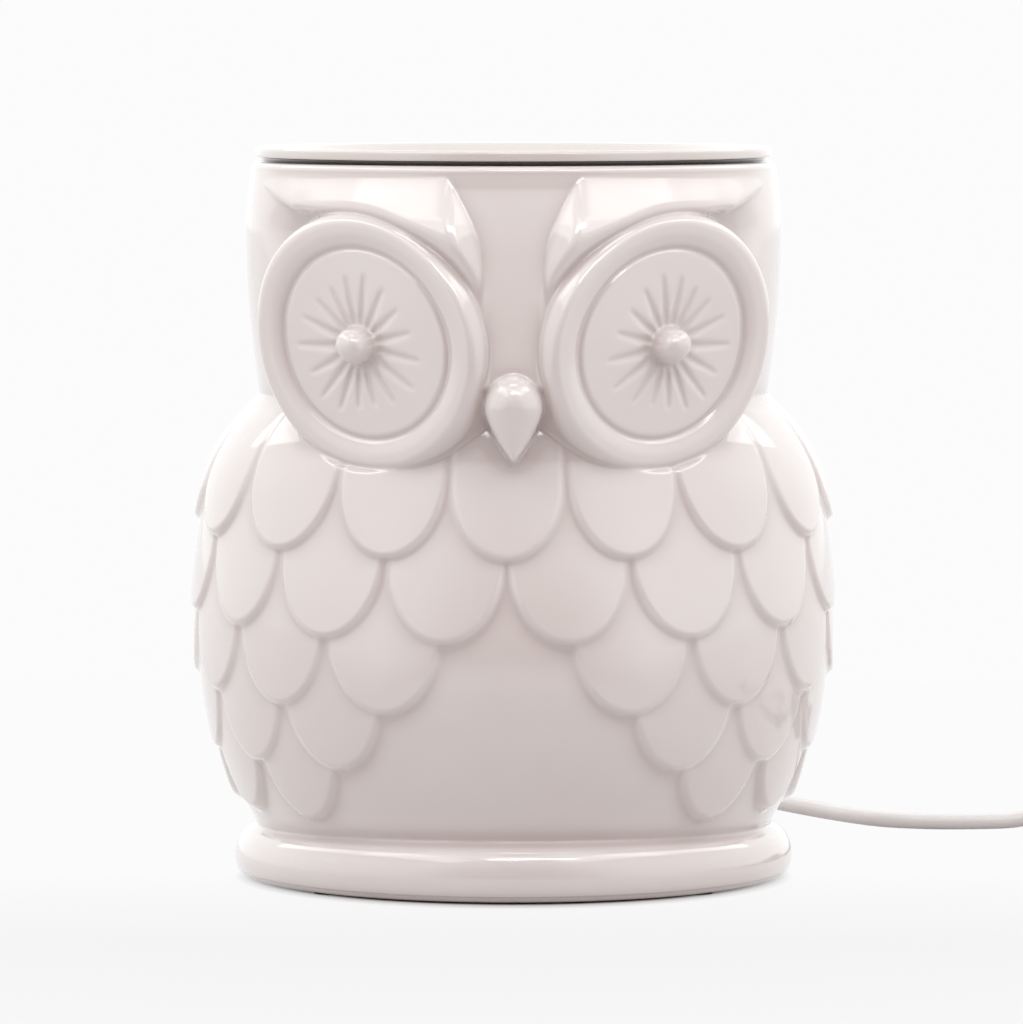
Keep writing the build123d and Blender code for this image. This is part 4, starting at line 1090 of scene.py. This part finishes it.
def wax_dish():
    face = bowl_arc(DISH_SPIGOT - DISH_SPIGOT_WALL - DISH_FLOOR_RADIUS, DISH_FLOOR, DISH_SEAT)
    back = bowl_arc(DISH_SPIGOT - DISH_FLOOR_RADIUS, DISH_BOTTOM, DISH_SEAT - DISH_SPIGOT_DROP)[::-1]
    edge = rounded_line(
        [
            (*face[-1], 0),
            (DISH_RADIUS - DISH_LIP, DISH_TOP, DISH_LIP_ROUNDING),
            (DISH_RADIUS, DISH_TOP, DISH_LIP_ROUNDING),
            (DISH_RADIUS, DISH_EDGE_LOW, DISH_EDGE_ROUNDING),
            (DISH_SEAT_RADIUS + DISH_SEAT_FLARE, DISH_EDGE_LOW, DISH_SEAT_ROUNDING),
            (DISH_SEAT_RADIUS, DISH_SEAT, DISH_SEAT_ROUNDING),
            (DISH_SPIGOT, DISH_SEAT, 0),
            (*back[0], 0),
        ],
        guard=CLOSE_GUARD,
    )[1:-1]
    centre = (*DISH_CENTRE, DISH_FLOOR_RADIUS)
    flat = [(radius, DISH_FLOOR) for radius in centre]
    under = [(radius, DISH_BOTTOM) for radius in centre[::-1]]
    line = np.concatenate([flat, face, edge, back, under])[::-1]
    radius = line[:, :1]
    height = line[:, 1:]
    # Painted shadow: the underside in the gap over the shell's rim is coloured near black
    gap_start, gap_end, gap_rise = DISH_PAINTED_SHADOW
    painted_shadow = (radius > DISH_SPIGOT - gap_start) & (radius < DISH_RADIUS - gap_end)
    painted_shadow = painted_shadow & (height < DISH_EDGE_LOW + gap_rise)
    turn = np.radians(np.linspace(0, 360, DISH_COLUMNS, endpoint=False))[None, :]
    pool_and_shade = np.repeat(painted_shadow.astype(float), DISH_COLUMNS, axis=1)
    return grid_mesh("glazed_dish", turned_rows(radius, height, turn), pool_and_shade)


dress(wax_dish(), "dish", "dish_glaze", "wax_dish")


# Floor and surround: lengths in metres; an edge is a stretch of one component of a unit direction
FLOOR_HALF = 6.0
FLOOR_COLOUR = (0.52, 0.495, 0.49)
FLOOR_ROUGHNESS = 0.7
FLOOR_SPECULAR = 0.2
LEAST_LENGTH = 0.01
SURROUND = (0.975, 0.972, 0.974)
SIDE_LIGHT = (1.18, 1.2, 1.2)
CEILING = (0.74, 0.74, 0.737)
CEILING_EDGE = (0.42, 0.84)
CAMERA_SIDE = (0.38, 0.3, 0.28)
CAMERA_SIDE_EDGE = (-0.93, -0.68)
CAMERA_SIDE_FADE = (0.2, 0.6)
AMBIENT = (0.3, 0.23, 0.22)
AMBIENT_EDGE = (-0.93, -0.38)

# White glow of the floor: none in the shadow under the foot, then a stretch of depth or length in metres,
# and the shares of white at its two ends
SHADOW_CENTRE = (0, -0.006, 0)
SHADOW_EDGE = (0.0495, 0.0575)
WHITE_BY_DEPTH = (-0.16, 0.0, 0.76, 0.985)
WHITE_BY_LENGTH = (0.064, 0.45, 0.78, 1.0)


def background_shares(tree):
    """Two shares: rays that show the background, in gloss and glass too, and camera rays alone."""
    path = tree.nodes.new("ShaderNodeLightPath")
    camera = path.outputs["Is Camera Ray"]
    seen = math_node(tree, "MAXIMUM", camera, path.outputs["Is Glossy Ray"])
    return math_node(tree, "MAXIMUM", seen, path.outputs["Is Transmission Ray"]), camera


def floor_material():
    """Matt floor under a white glow, which is dimmer and warmer where gloss shows the camera's side."""
    material, tree, shader = new_material("floor")
    shader.inputs["Base Color"].default_value = (*FLOOR_COLOUR, 1)
    shader.inputs["Roughness"].default_value = FLOOR_ROUGHNESS
    shader.inputs["Specular IOR Level"].default_value = FLOOR_SPECULAR
    seen, camera = background_shares(tree)
    place = tree.nodes.new("ShaderNodeTexCoord").outputs["Object"]
    split = tree.nodes.new("ShaderNodeSeparateXYZ")
    link(tree, place, split.inputs[0])
    depth = split.outputs["Y"]
    length = distance_node(tree, place, (0, 0, 0))
    bearing = math_node(tree, "DIVIDE", depth, math_node(tree, "MAXIMUM", length, LEAST_LENGTH))
    aside = range_node(tree, bearing, *CAMERA_SIDE_EDGE, 0.0, 1.0)
    close = range_node(tree, length, *CAMERA_SIDE_FADE, 1.0, 0.0)
    plain = math_node(tree, "MAXIMUM", math_node(tree, "MAXIMUM", aside, close), camera)
    glow = tree.nodes.new("ShaderNodeEmission")
    link(tree, mix_node(tree, plain, CAMERA_SIDE, SURROUND), glow.inputs["Color"])
    from_shadow = distance_node(tree, place, SHADOW_CENTRE)
    beside = range_node(tree, from_shadow, *SHADOW_EDGE, 0.0, 1.0)
    back = range_node(tree, depth, *WHITE_BY_DEPTH)
    away = math_node(tree, "MAXIMUM", back, range_node(tree, length, *WHITE_BY_LENGTH))
    white = math_node(tree, "MULTIPLY", math_node(tree, "MULTIPLY", beside, away), seen)
    mix = tree.nodes.new("ShaderNodeMixShader")
    link(tree, white, mix.inputs[0])
    link(tree, shader.outputs[0], mix.inputs[1])
    link(tree, glow.outputs[0], mix.inputs[2])
    link(tree, mix.outputs[0], tree.nodes["Material Output"].inputs["Surface"])
    return material


def make_floor():
    """Pale floor that shows as white away from the object, and keeps its shadow close by."""
    mesh = bpy.data.meshes.new("floor")
    sides = ((-1, -1), (1, -1), (1, 1), (-1, 1))
    corners = [(x * FLOOR_HALF, y * FLOOR_HALF, 0) for x, y in sides]
    mesh.from_pydata(corners, [], [tuple(range(len(corners)))])
    mesh.materials.append(floor_material())
    floor = bpy.data.objects.new("floor", mesh)
    bpy.context.collection.objects.link(floor)


make_floor()


def make_world():
    """White surround all about, with a darker ceiling and a dim, warm patch on the camera's side."""
    world = bpy.data.worlds.new("studio")
    world.use_nodes = True
    bpy.context.scene.world = world
    tree = world.node_tree
    coords = tree.nodes.new("ShaderNodeTexCoord")
    split = tree.nodes.new("ShaderNodeSeparateXYZ")
    link(tree, coords.outputs["Generated"], split.inputs[0])
    high = range_node(tree, split.outputs["Z"], *CEILING_EDGE, 0.0, 1.0)
    aside = range_node(tree, split.outputs["Y"], *CAMERA_SIDE_EDGE, 0.0, 1.0)
    wide_aside = range_node(tree, split.outputs["Y"], *AMBIENT_EDGE, 0.0, 1.0)
    seen, camera = background_shares(tree)
    shown = mix_node(tree, high, mix_node(tree, aside, CAMERA_SIDE, SIDE_LIGHT), CEILING)
    ambient = mix_node(tree, high, mix_node(tree, wide_aside, AMBIENT, SIDE_LIGHT), CEILING)
    lighting = mix_node(tree, seen, ambient, shown)
    colour = mix_node(tree, camera, lighting, SURROUND)
    link(tree, colour, tree.nodes["Background"].inputs["Color"])


make_world()


# Lamps: lengths in metres, angles in degrees, power in watts


def softbox(name, azimuth, height, distance, width, tall, tilt, power, roll=0):
    """Rectangular lamp that stands off the object at an azimuth and tilts down towards it."""
    data = bpy.data.lights.new(name, "AREA")
    data.shape = "RECTANGLE"
    data.size = width
    data.size_y = tall
    data.energy = power
    lamp = bpy.data.objects.new(name, data)
    bpy.context.collection.objects.link(lamp)
    lamp.matrix_world = (
        Matrix.Rotation(radians(azimuth), 4, "Z")
        @ Matrix.Translation((0, -distance, height))
        @ Matrix.Rotation(radians(90 - tilt), 4, "X")
        @ Matrix.Rotation(radians(roll), 4, "Z")
    )
    lamp.visible_camera = False
    return lamp


softbox("overhead", azimuth=0, height=1.4, distance=0.28, width=0.55, tall=0.2, tilt=78, power=1.0)
for side in (-1, 1):
    softbox(
        "side_high",
        azimuth=86 * side,
        height=1.0,
        distance=0.8,
        width=2.4,
        tall=0.36,
        tilt=49,
        power=3.5,
        roll=-10 * side,
    )
    softbox(
        "front_high",
        azimuth=40 * side,
        height=1.15,
        distance=0.68,
        width=1.5,
        tall=0.34,
        tilt=57,
        power=1.55,
    )

# The glint lamp shows in gloss only
glint = softbox("glint", azimuth=10, height=1.08, distance=0.9, width=0.8, tall=0.16, tilt=50, power=1.6)
glint.visible_diffuse = False

bpy.context.scene.view_settings.view_transform = "Standard"
